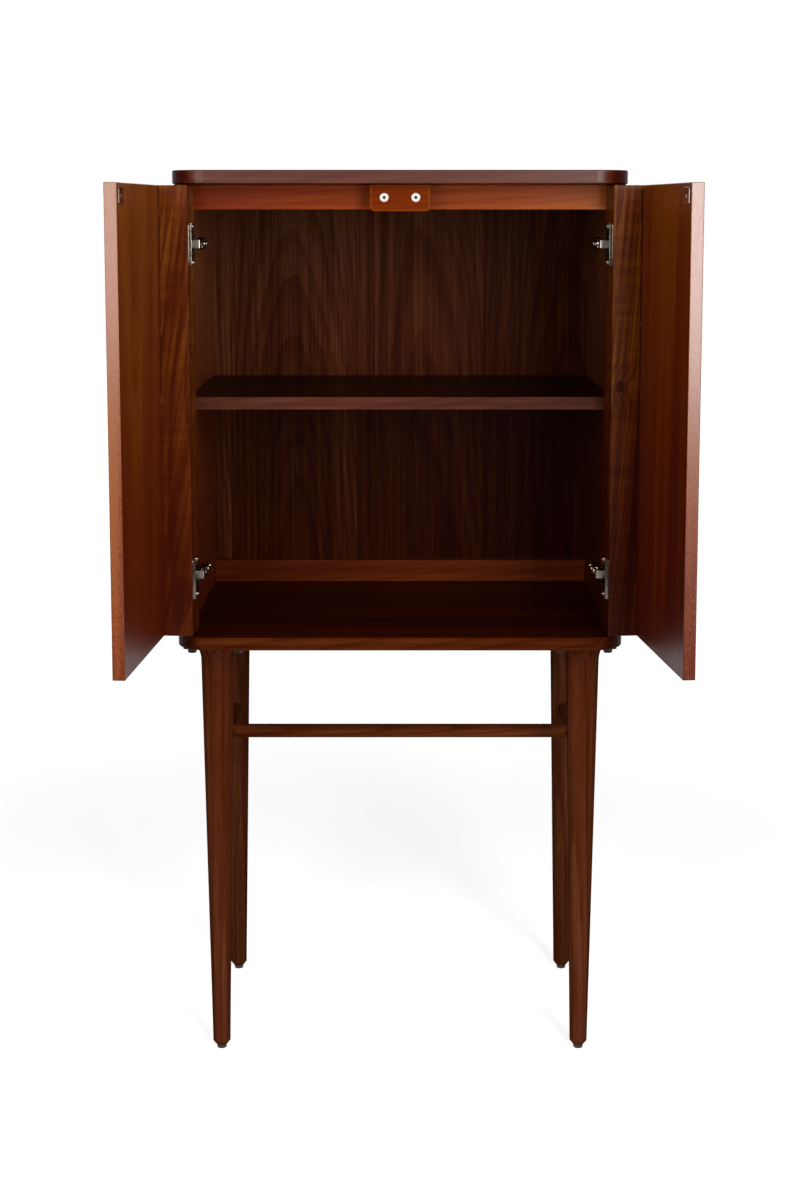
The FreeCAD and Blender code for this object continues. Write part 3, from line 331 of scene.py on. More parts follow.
# ---------------------------------------------------------------------------------------------
# Finishes
# ---------------------------------------------------------------------------------------------
class Cells(Enum):
    """Cells of a pattern to the metre: across the grain, in depth and along it."""

    DRIFT = (4.0, 4.0, 0.8)
    RIPPLE = (28.0, 28.0, 4.0)
    CURL = (16.0, 16.0, 85.0)
    STREAK = (150.0, 150.0, 1.8)
    FIBRE = (850.0, 850.0, 11.0)
    PORE = (1150.0, 1150.0, 60.0)
    CHIP = (700.0, 700.0, 130.0)
    SPECKLE = (520.0, 520.0, 200.0)
    GRIT = (2400.0, 2400.0, 90.0)
    HAZE = (130.0, 130.0, 130.0)
    SCRATCH = (2600.0, 2600.0, 160.0)
    PEEL = (900.0, 900.0, 900.0)
    SCUFF = (240.0, 240.0, 240.0)
    SPARK = (1800.0, 1800.0, 1800.0)
    TOOTH = (60.0, 60.0, 60.0)


class Grain(Enum):
    """Direction of a board's grain, as the turn that brings it upright."""

    UPRIGHT = (0.0, 0.0, 0.0)
    SIDEWAYS = (0.0, math.pi / 2, 0.0)
    ENDWAYS = (math.pi / 2, 0.0, 0.0)

    @property
    def axis(self) -> int:
        """Tell which axis the grain follows."""
        return {"SIDEWAYS": 0, "ENDWAYS": 1, "UPRIGHT": 2}[self.name]


@dataclass(frozen=True)
class Cut:
    """How one board is cut from the log.

    Attributes:
        grain: Direction of the grain.
        pith: Heart of the log, across the board both ways from its middle, in metres.
        lean: Slope of the heart along the board, which draws arched figure.
        slant: Slope of the fibres across the board.
        seed: Place in the log.
        centre: Middle of the board.
        turn: Angle about Z by which the board's piece is turned.
        leaf: Width and first seam of veneer leaves laid side by side, or None for one board.
        leaf_shade_and_heart_step: Tone lost from each leaf to the next, which is painted shade, and
            way that the heart of the log moves.
        knots: Knots as (across, along, size), in metres from the middle.
        half: Half sizes of the board, or None for no worn edges.
        lipping: Distance from the middle at which a paler edge strip starts, or None for no strip.
        seam: Glue line to the next board, its dark band partly painted shade, as its distances from
            the middle across and in depth.
    """

    grain: Grain = Grain.UPRIGHT
    pith: tuple[float, float] = (0.03, 0.12)
    lean: tuple[float, float] = (0.02, 0.05)
    slant: float = 0.0
    seed: float = 0.0
    centre: tuple[float, float, float] = (0.0, 0.0, 0.0)
    turn: float = 0.0
    leaf: tuple[float, float] | None = None
    leaf_shade_and_heart_step: tuple[float, float] = (0.0, 0.0)
    knots: tuple[tuple[float, float, float], ...] = ()
    half: tuple[float, float, float] | None = None
    lipping: float | None = None
    seam: tuple[float, float] | None = None

    @property
    def thinnest(self) -> int:
        """Tell which axis the board is thinnest along."""
        return self.half.index(min(self.half))


LEAF_STEP_ALONG, LEAF_STEP_ACROSS = 0.41, 1.7  # way in the log from one veneer leaf to the next
LEAF_SEAM, GLUE_LINE_AND_SHADE, KNOT_CORE = 0.35, 0.8, 0.9  # tone lost there
GLUE_CHIPS, STRIP_SPECKLE = 1.1, 2.2  # tone that the flecks there gain
RIPPLE_SHARE = 0.12  # fine wobble of the rings, as a share of their wander
KNOT_REACH, KNOT_PUSH = 3.6, 1.9  # how far a knot bends the rings, in its own sizes


@dataclass(frozen=True)
class Timber:
    """Wood with rings, broad bands, fibres, pores and cross figure under a satin lacquer.

    Attributes:
        body: Middle tone.
        faces: Middle tone of the board's two broad faces, a darker tone that is painted shade.
        contrast: Step between tones.
        ring: Width of a year's growth, in metres.
        bands, rings, streaks, fibres, pores, curl: How strongly each shows.
        wander: How far the rings wander, in metres.
        painted_light_slope: Tone gained along the grain, per metre, painted light that makes
            upright boards lighter towards the top.
        gloss: Roughness of the lacquer.
        lustre: How strongly the lacquer reflects.
        polish: Weight of a second coat, on long grain or on an edge strip.
        haze: Roughness of the second coat.
        worn: Tone added along the arrises, partly the lacquer rubbed thin and partly painted
            highlight.
        end_grain: Tone lost where the board's rounded ends show.
        strip, strip_painted_light_slope: Paler tone of an edge strip, partly painted highlight, and
            painted highlight gained per metre along it.
        strip_polish: Places along the grain between which an edge strip's second coat fades in.
    """

    body: str = "5a2a15"
    faces: str | None = None
    contrast: float = 0.14
    ring: float = 0.006
    bands: float = 0.9
    rings: float = 0.22
    streaks: float = 0.5
    fibres: float = 0.35
    pores: float = 0.18
    curl: float = 0.0
    wander: float = 0.03
    painted_light_slope: float = 0.0
    gloss: float = 0.32
    lustre: float = 0.1
    polish: float = 0.0
    haze: float = 0.22
    worn: float = 0.12
    end_grain: float = 0.0
    strip: float = 0.3
    strip_painted_light_slope: float = 0.6
    strip_polish: tuple[float, float] = (-0.34, -0.12)

    def tones(self, body: str) -> list[tuple[float, Colour]]:
        """Spread a middle tone over five stops, deeper on one side and paler on the other.

        Args:
            body: The middle tone.

        Returns:
            The stops of a ramp, whose middle is at 0.5.
        """
        red, green, blue, _ = shade(body)
        stops = []
        for step in (-2, -1, 0, 1, 2):
            power = 1.0 - self.contrast * step
            stops.append((0.5 + 0.2 * step, (red ** power, green ** power, blue ** power, 1.0)))
        return stops

    def material(self, name: str, cut: Cut) -> bpy.types.Material:
        """Make the material of one board.

        Args:
            name: The material's name.
            cut: How the board is cut from the log.

        Returns:
            The material.
        """
        material, graph = new_material(name)
        local = graph.turned(graph.place(), (0.0, 0.0, cut.turn), cut.centre)
        across, depth, along = graph.split(graph.turned(local, cut.grain.value))
        from_middle = abs(across)
        shift: Number = cut.seed
        heart: Number = cut.pith[0]
        tone: Number = 0.5
        if cut.leaf:
            across, number, seam = self._leaf(across, *cut.leaf)
            along = along + number * LEAF_STEP_ALONG
            shift = number * LEAF_STEP_ACROSS + cut.seed
            # Painted shade: each veneer leaf is a step darker than the one before it.
            tone = tone - seam * LEAF_SEAM - number * cut.leaf_shade_and_heart_step[0]
            heart = heart + number * cut.leaf_shade_and_heart_step[1]
        if cut.slant:
            across = across + along * cut.slant
        spot = graph.join(across + shift, depth + shift, along + shift)

        ripple = graph.split(graph.noise(spot, Cells.RIPPLE, output="Color"))
        late, band = self._rings(graph, cut, (across - heart, depth, along), spot, ripple[0])
        streak = graph.noise(spot, Cells.STREAK)
        fibre = graph.noise(spot, Cells.FIBRE, 3.0, 0.6)
        pore = self._pores(graph, spot) * ripple[2].rise(0.38, 0.6)
        tone = (
            tone
            + (band - 0.5) * self.bands
            - (late - 0.3) * self.rings
            + (streak - 0.5) * self.streaks
            + (fibre - 0.5) * self.fibres
            - pore * self.pores
        )
        if self.curl:
            tone = tone + (graph.noise(spot, Cells.CURL) - 0.5) * self.curl
        for knot_across, knot_along, size in cut.knots:
            core = self._knot(across - knot_across, along - knot_along, size).fall(0.2, 0.9)
            tone = tone - core * KNOT_CORE
        # Painted light: the tone grows along the grain, so upright boards are lighter towards the
        # top.
        if self.painted_light_slope:
            tone = tone + along * self.painted_light_slope
        if cut.seam:
            off_seam = distance(from_middle - cut.seam[0], abs(depth) - cut.seam[1])
            chips = graph.noise(spot, Cells.CHIP).rise(0.56, 0.68)
            # The seam's dark band is partly glue and partly painted shade of the inside corner.
            tone = tone - off_seam.fall(1.0 * MM, 2.0 * MM) * GLUE_LINE_AND_SHADE
            tone = tone + off_seam.fall(0.8 * MM, 2.0 * MM) * chips * GLUE_CHIPS

        speckle = graph.noise(spot, Cells.SPECKLE, 3.0, 0.7)
        polish: Number = (0.45 + speckle * 1.1) * self.polish
        if cut.lipping:
            strip = from_middle.rise(cut.lipping - 0.2 * MM, cut.lipping)
            # Painted highlight: the strip is lightened past its paler wood, and more towards the
            # top along the grain.
            added = self.strip + along * self.strip_painted_light_slope + (speckle - 0.5) * STRIP_SPECKLE
            tone = tone + strip * added
            polish = strip * along.rise(*self.strip_polish) * polish
        broad: Number = 0.0
        if cut.half:
            spare = [half - abs(side) for half, side in zip(cut.half, graph.split(local))]
            # The arrises grow lighter: partly wear of the lacquer, partly painted highlight.
            tone = tone + self._arris(spare) * self.worn
            broad = spare[cut.thinnest].fall(0.4 * MM, 0.9 * MM)
            if self.end_grain:
                to_end = spare[cut.grain.axis]
                tone = tone - to_end.fall(12.0 * MM, 32.0 * MM) * (1.0 - broad) * self.end_grain
                polish = to_end.rise(20.0 * MM, 42.0 * MM) * polish
        colour = graph.ramp(tone, self.tones(self.body))
        # Painted shade: the broad faces take the darker faces tone.
        if self.faces:
            colour = graph.blend(broad, colour, graph.ramp(tone, self.tones(self.faces)))

        grit = graph.noise(spot, Cells.GRIT)
        roughness = self.gloss + (grit - 0.5) * 0.16 + pore * 0.2 - (tone - 0.5) * 0.06
        bump = graph.bump(fibre * 0.35 + grit * 0.2 - pore, 0.45, 0.1 * MM)
        sockets = {"Base Color": colour, "Roughness": roughness, "Normal": bump,
                   "Specular IOR Level": self.lustre}
        if self.polish:
            sockets |= {"Coat Weight": polish, "Coat Roughness": self.haze}
        finish_surface(graph, sockets)
        return material

    @staticmethod
    def _leaf(across: Wire, width: float, first: float) -> tuple[Wire, Wire, Wire]:
        """Lay veneer leaves side by side.

        Args:
            across: Place across the board.
            width: Width of a leaf.
            first: Place of one of the seams.

        Returns:
            The place across the leaf, the leaf's number, and 1 at the seams.
        """
        position = (across - first) / width
        within = (position.part() - 0.5) * width
        seam = abs(within).rise(width / 2 - 0.5 * MM, width / 2 - 0.1 * MM)
        return within, position.whole(), seam

    def _rings(self, graph: Graph, cut: Cut, spots: tuple[Wire, Wire, Wire], spot: Wire,
               ripple: Wire) -> tuple[Wire, Wire]:
        """Draw the year's growth round the heart of the log.

        Args:
            graph: Graph of the material.
            cut: How the board is cut from the log.
            spots: Place across, from the heart, in depth and along the grain.
            spot: The same place as one vector, shifted to the board's place in the log.
            ripple: Fine wobble of the rings.

        Returns:
            Lines of late wood, and broad bands of tone.
        """
        across, depth, along = spots
        drift = graph.split(graph.noise(spot, Cells.DRIFT, output="Color"))
        side = across + along * cut.lean[0] + (drift[0] - 0.5) * self.wander
        away = depth - cut.pith[1] + along * cut.lean[1] + (drift[1] - 0.5) * self.wander
        radius = distance(side, away) + (ripple - 0.5) * (self.wander * RIPPLE_SHARE)
        for knot_across, knot_along, size in cut.knots:
            knot = self._knot(across + (cut.pith[0] - knot_across), along - knot_along, size)
            radius = radius + knot.fall(0.0, KNOT_REACH) * (KNOT_PUSH * size)
        unevenness = graph.noise(graph.join(radius * 55.0, cut.seed, along * 0.3), detail=1.0)
        phase = (radius / self.ring + unevenness * 2.5).part()
        late = phase.rise(0.4, 0.92) * phase.fall(0.94, 1.0)
        band = graph.noise(graph.join(radius * 24.0, cut.seed, along * 0.25), roughness=0.55)
        return late, band

    @staticmethod
    def _pores(graph: Graph, spot: Wire) -> Wire:
        """Scatter the open pores of the wood.

        Args:
            graph: Graph of the material.
            spot: Place in the log.

        Returns:
            1 in a pore and 0 beside it.
        """
        sockets = {"Vector": graph.stretch(spot, Cells.PORE), "Scale": 1.0, "Randomness": 1.0}
        cells = graph.node("ShaderNodeTexVoronoi", {"feature": "F1"}, sockets, "Distance")
        return cells.fall(0.10, 0.34)

    @staticmethod
    def _knot(across: Wire, along: Wire, size: float) -> Wire:
        """Measure the distance from a knot that is longer along the grain than across it."""
        return distance(across / size, along * (0.6 / size))

    @staticmethod
    def _arris(spare: Sequence[Wire]) -> Wire:
        """Find the board's edges, where the lacquer is rubbed thin and where a highlight is
        painted.

        Args:
            spare: Distances from the board's faces along the three axes.

        Returns:
            1 along the edges and 0 on the faces.
        """
        least = spare[0].at_most(spare[1]).at_most(spare[2])
        most = spare[0].at_least(spare[1]).at_least(spare[2])
        middle = spare[0] + spare[1] + spare[2] - least - most
        return middle.fall(0.6 * MM, 2.2 * MM)


@dataclass(frozen=True)
class Metal:
    """Metal, plated, painted or bare.

    Attributes:
        colour, worn: Colour of the surface and of its rubbed spots.
        metallic: 1 for bare metal and 0 for paint.
        gloss: Roughness.
        clouding, scratches: How strongly clouds and fine scratches change it.
    """

    colour: str
    worn: str
    metallic: float = 1.0
    gloss: float = 0.22
    clouding: float = 0.14
    scratches: float = 0.1

    def material(self, name: str) -> bpy.types.Material:
        """Make the material.

        Args:
            name: The material's name.

        Returns:
            The material.
        """
        material, graph = new_material(name)
        place = graph.place()
        haze = graph.noise(place, Cells.HAZE, 3.0, 0.6)
        scratch = graph.noise(place, Cells.SCRATCH, roughness=0.6)
        peel = graph.noise(place, Cells.PEEL, 1.0)
        colour = graph.blend(haze.rise(0.42, 0.72), shade(self.colour), shade(self.worn))
        roughness = self.gloss + (haze - 0.5) * self.clouding + (scratch - 0.5) * self.scratches
        bump = graph.bump(scratch * self.scratches * 4.0 + peel * 0.3, 0.2, 0.01 * MM)
        finish_surface(graph, {"Base Color": colour, "Roughness": roughness, "Normal": bump,
                               "Metallic": self.metallic})
        return material


@dataclass(frozen=True)
class Nylon:
    """Moulded nylon with a faint spark texture and scuffs.

    Attributes:
        colour, scuffed: Colour of the surface and of its scuffs.
        gloss: Roughness away from the scuffs.
    """

    colour: str = "17171a"
    scuffed: str = "34332f"
    gloss: float = 0.45

    def material(self, name: str) -> bpy.types.Material:
        """Make the material.

        Args:
            name: The material's name.

        Returns:
            The material.
        """
        material, graph = new_material(name)
        place = graph.place()
        scuff = graph.noise(place, Cells.SCUFF, 4.0, 0.7)
        colour = graph.blend(scuff.rise(0.5, 0.75), shade(self.colour), shade(self.scuffed))
        bump = graph.bump(graph.noise(place, Cells.SPARK), 0.35, 0.06 * MM)
        roughness = self.gloss + scuff * 0.2
        finish_surface(graph, {"Base Color": colour, "Roughness": roughness, "Normal": bump})
        return material


def new_material(name: str) -> tuple[bpy.types.Material, Graph]:
    """Make an empty material.

    Args:
        name: Its name.

    Returns:
        The material and the graph of its nodes.
    """
    material = bpy.data.materials.new(name)
    material.use_nodes = True
    material.node_tree.nodes.clear()
    return material, Graph(material.node_tree)


def finish_surface(graph: Graph, sockets: Mapping[str, Any]) -> None:
    """End a material's graph in a surface with the given sockets."""
    surface = graph.node("ShaderNodeBsdfPrincipled", None, sockets)
    graph.add("ShaderNodeOutputMaterial", None, {"Surface": surface})


# ---------------------------------------------------------------------------------------------
# Meshes
# ---------------------------------------------------------------------------------------------
WELD = 0.002 * MM  # corners closer than this become one
GROWN_EDGE, PLATE_EDGE = math.radians(35.0), math.radians(20.0)  # sharper edges aren't smoothed


def stand(name: str, data: bpy.types.ID) -> bpy.types.Object:
    """Put a new object into the scene.

    Args:
        name: Its name.
        data: Its mesh, curve, lamp or camera.

    Returns:
        The object, at the origin.
    """
    thing = bpy.data.objects.new(name, data)
    bpy.context.scene.collection.objects.link(thing)
    return thing


def plain_mesh(thing: bpy.types.Object) -> bpy.types.Mesh:
    """Read an object's finished shape as a mesh of its own."""
    seen = thing.evaluated_get(bpy.context.evaluated_depsgraph_get())
    return bpy.data.meshes.new_from_object(seen)


def coat(mesh: bpy.types.Mesh, material: bpy.types.Material, sharp: float) -> None:
    """Give a whole mesh one material and smooth shading.

    Args:
        mesh: The mesh.
        material: The material.
        sharp: Angle from which an edge stays sharp.
    """
    mesh.polygons.foreach_set("material_index", [0] * len(mesh.polygons))
    mesh.materials.clear()
    mesh.materials.append(material)
    mesh.shade_smooth()
    mesh.set_sharp_from_angle(angle=sharp)


# ---------------------------------------------------------------------------------------------
# Shapes made by rule
# ---------------------------------------------------------------------------------------------
UPWARDS, DOWNWARDS = Vector((0.0, 0.0, 1.0)), Vector((0.0, 0.0, -1.0))
Seat = tuple[Vector, Vector]  # a spot, and the way that what sits there faces


class Jig:
    """A rule for a mesh, as a Geometry Nodes tree whose sizes are named inputs."""

    def __init__(self, name: str, sizes: Iterable[str]) -> None:
        """Start a tree.

        Args:
            name: The tree's name.
            sizes: Names of its sizes.
        """
        self.tree = bpy.data.node_groups.new(name, "GeometryNodeTree")
        face = self.tree.interface
        face.new_socket("Geometry", in_out="INPUT", socket_type="NodeSocketGeometry")
        for size in sizes:
            face.new_socket(size, in_out="INPUT", socket_type="NodeSocketFloat")
        face.new_socket("Material", in_out="INPUT", socket_type="NodeSocketMaterial")
        face.new_socket("Geometry", in_out="OUTPUT", socket_type="NodeSocketGeometry")
        self.graph = Graph(self.tree)
        self.inputs = self.graph.add("NodeGroupInput")

    def size(self, name: str) -> Wire:
        """Read one of the named inputs."""
        return self.graph.out(self.inputs, name)

    def lathe(self, steps: int, height: Wire, radius: Wire, facets: int) -> Wire:
        """Turn a solid round the Z axis.

        Args:
            steps: Number of stations along the axis.
            height: Height of each station, from its index.
            radius: Radius of each station, from its index.
            facets: Number of sides.

        Returns:
            The closed mesh.
        """
        graph = self.graph
        line = graph.node("GeometryNodeCurvePrimitiveLine")
        stations = graph.node("GeometryNodeResampleCurve", None, {"Curve": line, "Count": steps})
        placed = graph.node("GeometryNodeSetPosition", None,
                            {"Geometry": stations, "Position": graph.join(0.0, 0.0, height)})
        ring = graph.node("GeometryNodeCurvePrimitiveCircle", None,
                          {"Resolution": facets, "Radius": 1.0})
        return graph.node("GeometryNodeCurveToMesh", None, {
            "Curve": placed, "Profile Curve": ring, "Scale": radius, "Fill Caps": True})

    def lift(self, shape: Wire, height: Wire) -> Wire:
        """Lift a shape off the ground."""
        sockets = {"Geometry": shape, "Translation": self.graph.join(0.0, 0.0, height)}
        return self.graph.node("GeometryNodeTransform", None, sockets)

    def gather(self, kind: str, settings: Mapping[str, Any], socket: int,
               shapes: Iterable[Wire]) -> Wire:
        """Lead several shapes into one socket of a new node.

        Args:
            kind: The node's type.
            settings: Its own settings.
            socket: Number of the socket.
            shapes: The shapes, in order.

        Returns:
            The node's result.
        """
        node = self.graph.add(kind, settings)
        for shape in shapes:
            self.tree.links.new(shape.socket, node.inputs[socket])
        return self.graph.out(node)

    def finish(self, shape: Wire, seed: int) -> None:
        """Set the shape on every point, facing its way and spun at random, and end the tree.

        Args:
            shape: The mesh to repeat.
            seed: Seed of the spin.
        """
        graph = self.graph
        way = graph.node("GeometryNodeInputNamedAttribute", {"data_type": "FLOAT_VECTOR"},
                         {"Name": "facing"})
        turned = graph.node("FunctionNodeAlignRotationToVector", {"axis": "Z"}, {"Vector": way})
        angle = graph.node("FunctionNodeRandomValue", {"data_type": "FLOAT"},
                           {2: 0.0, 3: 2 * math.pi, "Seed": seed}, 1)
        spin = graph.node("FunctionNodeAxisAngleToRotation", None,
                          {"Axis": (0.0, 0.0, 1.0), "Angle": angle})
        pose = graph.node("FunctionNodeRotateRotation", {"rotation_space": "LOCAL"},
                          {0: turned, 1: spin})
        copies = graph.node("GeometryNodeInstanceOnPoints", None, {
            "Points": self.size("Geometry"), "Instance": shape, "Rotation": pose})
        solid = graph.node("GeometryNodeRealizeInstances", None, {"Geometry": copies})
        welded = graph.node("GeometryNodeMergeByDistance", None,
                            {"Geometry": solid, "Distance": WELD})
        dressed = graph.node("GeometryNodeSetMaterial", None,
                             {"Geometry": welded, "Material": self.size("Material")})
        graph.add("NodeGroupOutput", None, {"Geometry": dressed})

    def grow(self, name: str, seats: Sequence[Seat], sizes: Mapping[str, Any]) -> bpy.types.Object:
        """Run the rule and keep its result as a plain mesh.

        Args:
            name: The piece's name.
            seats: Where each copy stands and which way its Z axis points.
            sizes: Values of the named inputs.

        Returns:
            The piece.
        """
        mesh = bpy.data.meshes.new(name)
        mesh.from_pydata([tuple(spot) for spot, _ in seats], [], [])
        ways = mesh.attributes.new("facing", "FLOAT_VECTOR", "POINT")
        ways.data.foreach_set("vector", [number for _, way in seats for number in way])
        piece = stand(name, mesh)
        modifier = piece.modifiers.new("shape", "NODES")
        modifier.node_group = self.tree
        for item in self.tree.interface.items_tree:
            if item.in_out == "INPUT" and item.name in sizes:
                modifier[item.identifier] = sizes[item.name]
        plain = plain_mesh(piece)
        piece.modifiers.remove(modifier)
        piece.data = plain
        coat(plain, sizes["Material"], GROWN_EDGE)
        return piece


SCREW_SIZES = ("Head Radius", "Under Radius", "Head Height", "Dome", "Recess Reach",
               "Recess Width", "Recess Depth", "Shank Radius", "Shank Length")
SCREW_STEPS, HEAD_FACETS, SHANK_FACETS = 10, 40, 20
CORNER = 1.414  # a square's middle to its corner, over its middle to its side
RECESS_FOOT = 0.7  # a recess's half size at its foot, over its reach
POINT_TAPER = 0.8  # share of its radius that a screw loses towards its point


def screw_jig() -> Jig:
    """Make the rule for a screw with a cross recess, its head standing on the ground.

    Returns:
        The rule.
    """
    jig = Jig("cross_screw", SCREW_SIZES)
    graph = jig.graph
    rim, under, height = (jig.size(name) for name in SCREW_SIZES[:3])
    share = graph.node("GeometryNodeInputIndex") / (SCREW_STEPS - 1.0)
    radius = (under + (rim - under) * share) * (1.0 - jig.size("Dome") * share ** 3.0)
    head = jig.lathe(SCREW_STEPS, share * height, radius, HEAD_FACETS)

    reach, width, depth = (jig.size(f"Recess {side}") for side in ("Reach", "Width", "Depth"))
    wedge = graph.node("GeometryNodeMeshCone", None, {
        "Vertices": 4, "Radius Top": reach * CORNER, "Radius Bottom": reach * RECESS_FOOT,
        "Depth": depth * 2.0})
    squared = graph.node("GeometryNodeTransform", None,
                         {"Geometry": wedge, "Rotation": (0.0, 0.0, math.pi / 4)})
    narrow, sunk = width / reach, graph.join(0.0, 0.0, height - depth)
    for scale in (graph.join(1.0, narrow, 1.0), graph.join(narrow, 1.0, 1.0)):
        slot = graph.node("GeometryNodeTransform", None,
                          {"Geometry": squared, "Scale": scale, "Translation": sunk})
        head = graph.node("GeometryNodeMeshBoolean",
                          {"operation": "DIFFERENCE", "solver": "MANIFOLD"}, {0: head, 1: slot})

    taper = 1.0 - (1.0 - share).rise(0.75, 1.0) * POINT_TAPER
    shank = jig.lathe(SCREW_STEPS, (share - 1.0) * jig.size("Shank Length"),
                      jig.size("Shank Radius") * taper, SHANK_FACETS)
    jig.finish(jig.gather("GeometryNodeJoinGeometry", {}, 0, (head, shank)), seed=4)
    return jig


BOLT_SIZES = ("Flats", "Head Height", "Washer Radius", "Washer Height", "Shank Radius",
              "Shank Length")
BOLT_STEPS, WASHER_FACETS, BOLT_FACETS, CONE_FACETS = 5, 48, 24, 64
CONE_TOP, CONE_FOOT = 0.96, 1.75  # cone that rounds a bolt's head off, over half its flats
WASHER_BEVEL = 0.06  # share of its radius that a washer loses at each rim


def bolt_jig() -> Jig:
    """Make the rule for a hexagon bolt with its washer, its head standing on the ground.

    Returns:
        The rule.
    """
    jig = Jig("hexagon_bolt", BOLT_SIZES)
    graph = jig.graph
    flats, height, low = jig.size("Flats"), jig.size("Head Height"), jig.size("Washer Height")
    prism = graph.node("GeometryNodeMeshCylinder", None, {
        "Vertices": 6, "Radius": flats * (2 / math.sqrt(3)), "Depth": height})
    cone = graph.node("GeometryNodeMeshCone", None, {
        "Vertices": CONE_FACETS, "Radius Top": flats * CONE_TOP,
        "Radius Bottom": flats * CONE_FOOT, "Depth": height})
    head = jig.gather("GeometryNodeMeshBoolean", {"operation": "INTERSECT", "solver": "MANIFOLD"},
                      1, (jig.lift(prism, height * 0.5), cone))
    index = graph.node("GeometryNodeInputIndex")
    first, last = index.below(0.5), (BOLT_STEPS - 1.5 - index).below(0.0)
    bevel = 1.0 - first * WASHER_BEVEL - last * WASHER_BEVEL
    share = index / (BOLT_STEPS - 1.0)
    washer = jig.lathe(BOLT_STEPS, share * low, jig.size("Washer Radius") * bevel, WASHER_FACETS)
    shank = jig.lathe(BOLT_STEPS, (share - 1.0) * jig.size("Shank Length"),
                      jig.size("Shank Radius"), BOLT_FACETS)
    parts = (jig.lift(head, low), washer, shank)
    jig.finish(jig.gather("GeometryNodeJoinGeometry", {}, 0, parts), seed=9)
    return jig


TAPER_STEPS, FLARE_STEPS, LEG_FACETS = 24, 12, 96


def leg_jig() -> Jig:
    """Make the rule for a turned leg: chamfered foot, straight taper and a hollow flare.

    Returns:
        The rule.
    """
    jig = Jig("turned_leg", ("Foot Radius", "Neck Radius", "Chamfer", "Foot Height",
                             "Shoulder Height", "Neck Height", "Flare Radius", "Flare Angle"))
    index = jig.graph.node("GeometryNodeInputIndex")
    at_foot = index.below(0.5)
    climb = ((index - 1.0) / TAPER_STEPS).at_least(0.0).at_most(1.0)
    flared = ((index - (1.0 + TAPER_STEPS)) / FLARE_STEPS).at_least(0.0)
    angle = flared * jig.size("Flare Angle")
    foot, shoulder = jig.size("Foot Radius"), jig.size("Shoulder Height")
    bow = jig.size("Flare Radius")
    radius = foot + (jig.size("Neck Radius") - foot) * climb + bow * (1.0 - angle.cosine())
    height = shoulder + (jig.size("Neck Height") - shoulder) * climb + bow * angle.sine()
    radius = radius - at_foot * jig.size("Chamfer")
    height = height - at_foot * (shoulder - jig.size("Foot Height"))
    leg = jig.lathe(TAPER_STEPS + FLARE_STEPS + 2, height, radius, LEG_FACETS)
    jig.finish(leg, seed=0)
    return jig


# ---------------------------------------------------------------------------------------------
# Pieces put together from plates
# ---------------------------------------------------------------------------------------------
class Plane(Enum):
    """Plane that a plate is cut in, as the turn from the floor to it."""

    LEVEL = (0.0, 0.0, 0.0)
    FACING_FRONT = (math.pi / 2, 0.0, 0.0)
    FACING_SIDE = (math.pi / 2, 0.0, math.pi / 2)


CORNER_STEPS, RING_STEPS = 5, 40  # steps round a corner and round a circle


def drawn(corners: Sequence[tuple[float, float, float]]) -> list[Vector]:
    """Draw a closed line.

    Args:
        corners: Each corner as (x, y, radius).

    Returns:
        The points of the line.
    """
    line = []
    for number, (x, y, radius) in enumerate(corners):
        here = Vector((x, y))
        if not radius:
            line.append(here)
            continue
        back = (Vector(corners[number - 1][:2]) - here).normalized()
        ahead = (Vector(corners[(number + 1) % len(corners)][:2]) - here).normalized()
        half = back.angle(ahead) / 2
        middle = here + (back + ahead).normalized() * (radius / math.sin(half))
        start, end = (here + way * (radius / math.tan(half)) - middle for way in (back, ahead))
        for step in range(CORNER_STEPS + 1):
            line.append(middle + start.lerp(end, step / CORNER_STEPS).normalized() * radius)
    return line


def box_line(low: tuple[float, float], high: tuple[float, float], corner: float) -> list[Vector]:
    """Draw a rectangle with rounded corners."""
    spots = ((low[0], low[1]), (high[0], low[1]), (high[0], high[1]), (low[0], high[1]))
    return drawn([(x, y, corner) for x, y in spots])


def ring_line(centre: tuple[float, float], radius: float) -> list[Vector]:
    """Draw a circle.

    Args:
        centre: Its centre.
        radius: Its radius.

    Returns:
        The points of the line.
    """
    line = []
    for step in range(RING_STEPS):
        angle = 2 * math.pi * step / RING_STEPS
        x, y = centre[0] + radius * math.cos(angle), centre[1] + radius * math.sin(angle)
        line.append(Vector((x, y)))
    return line


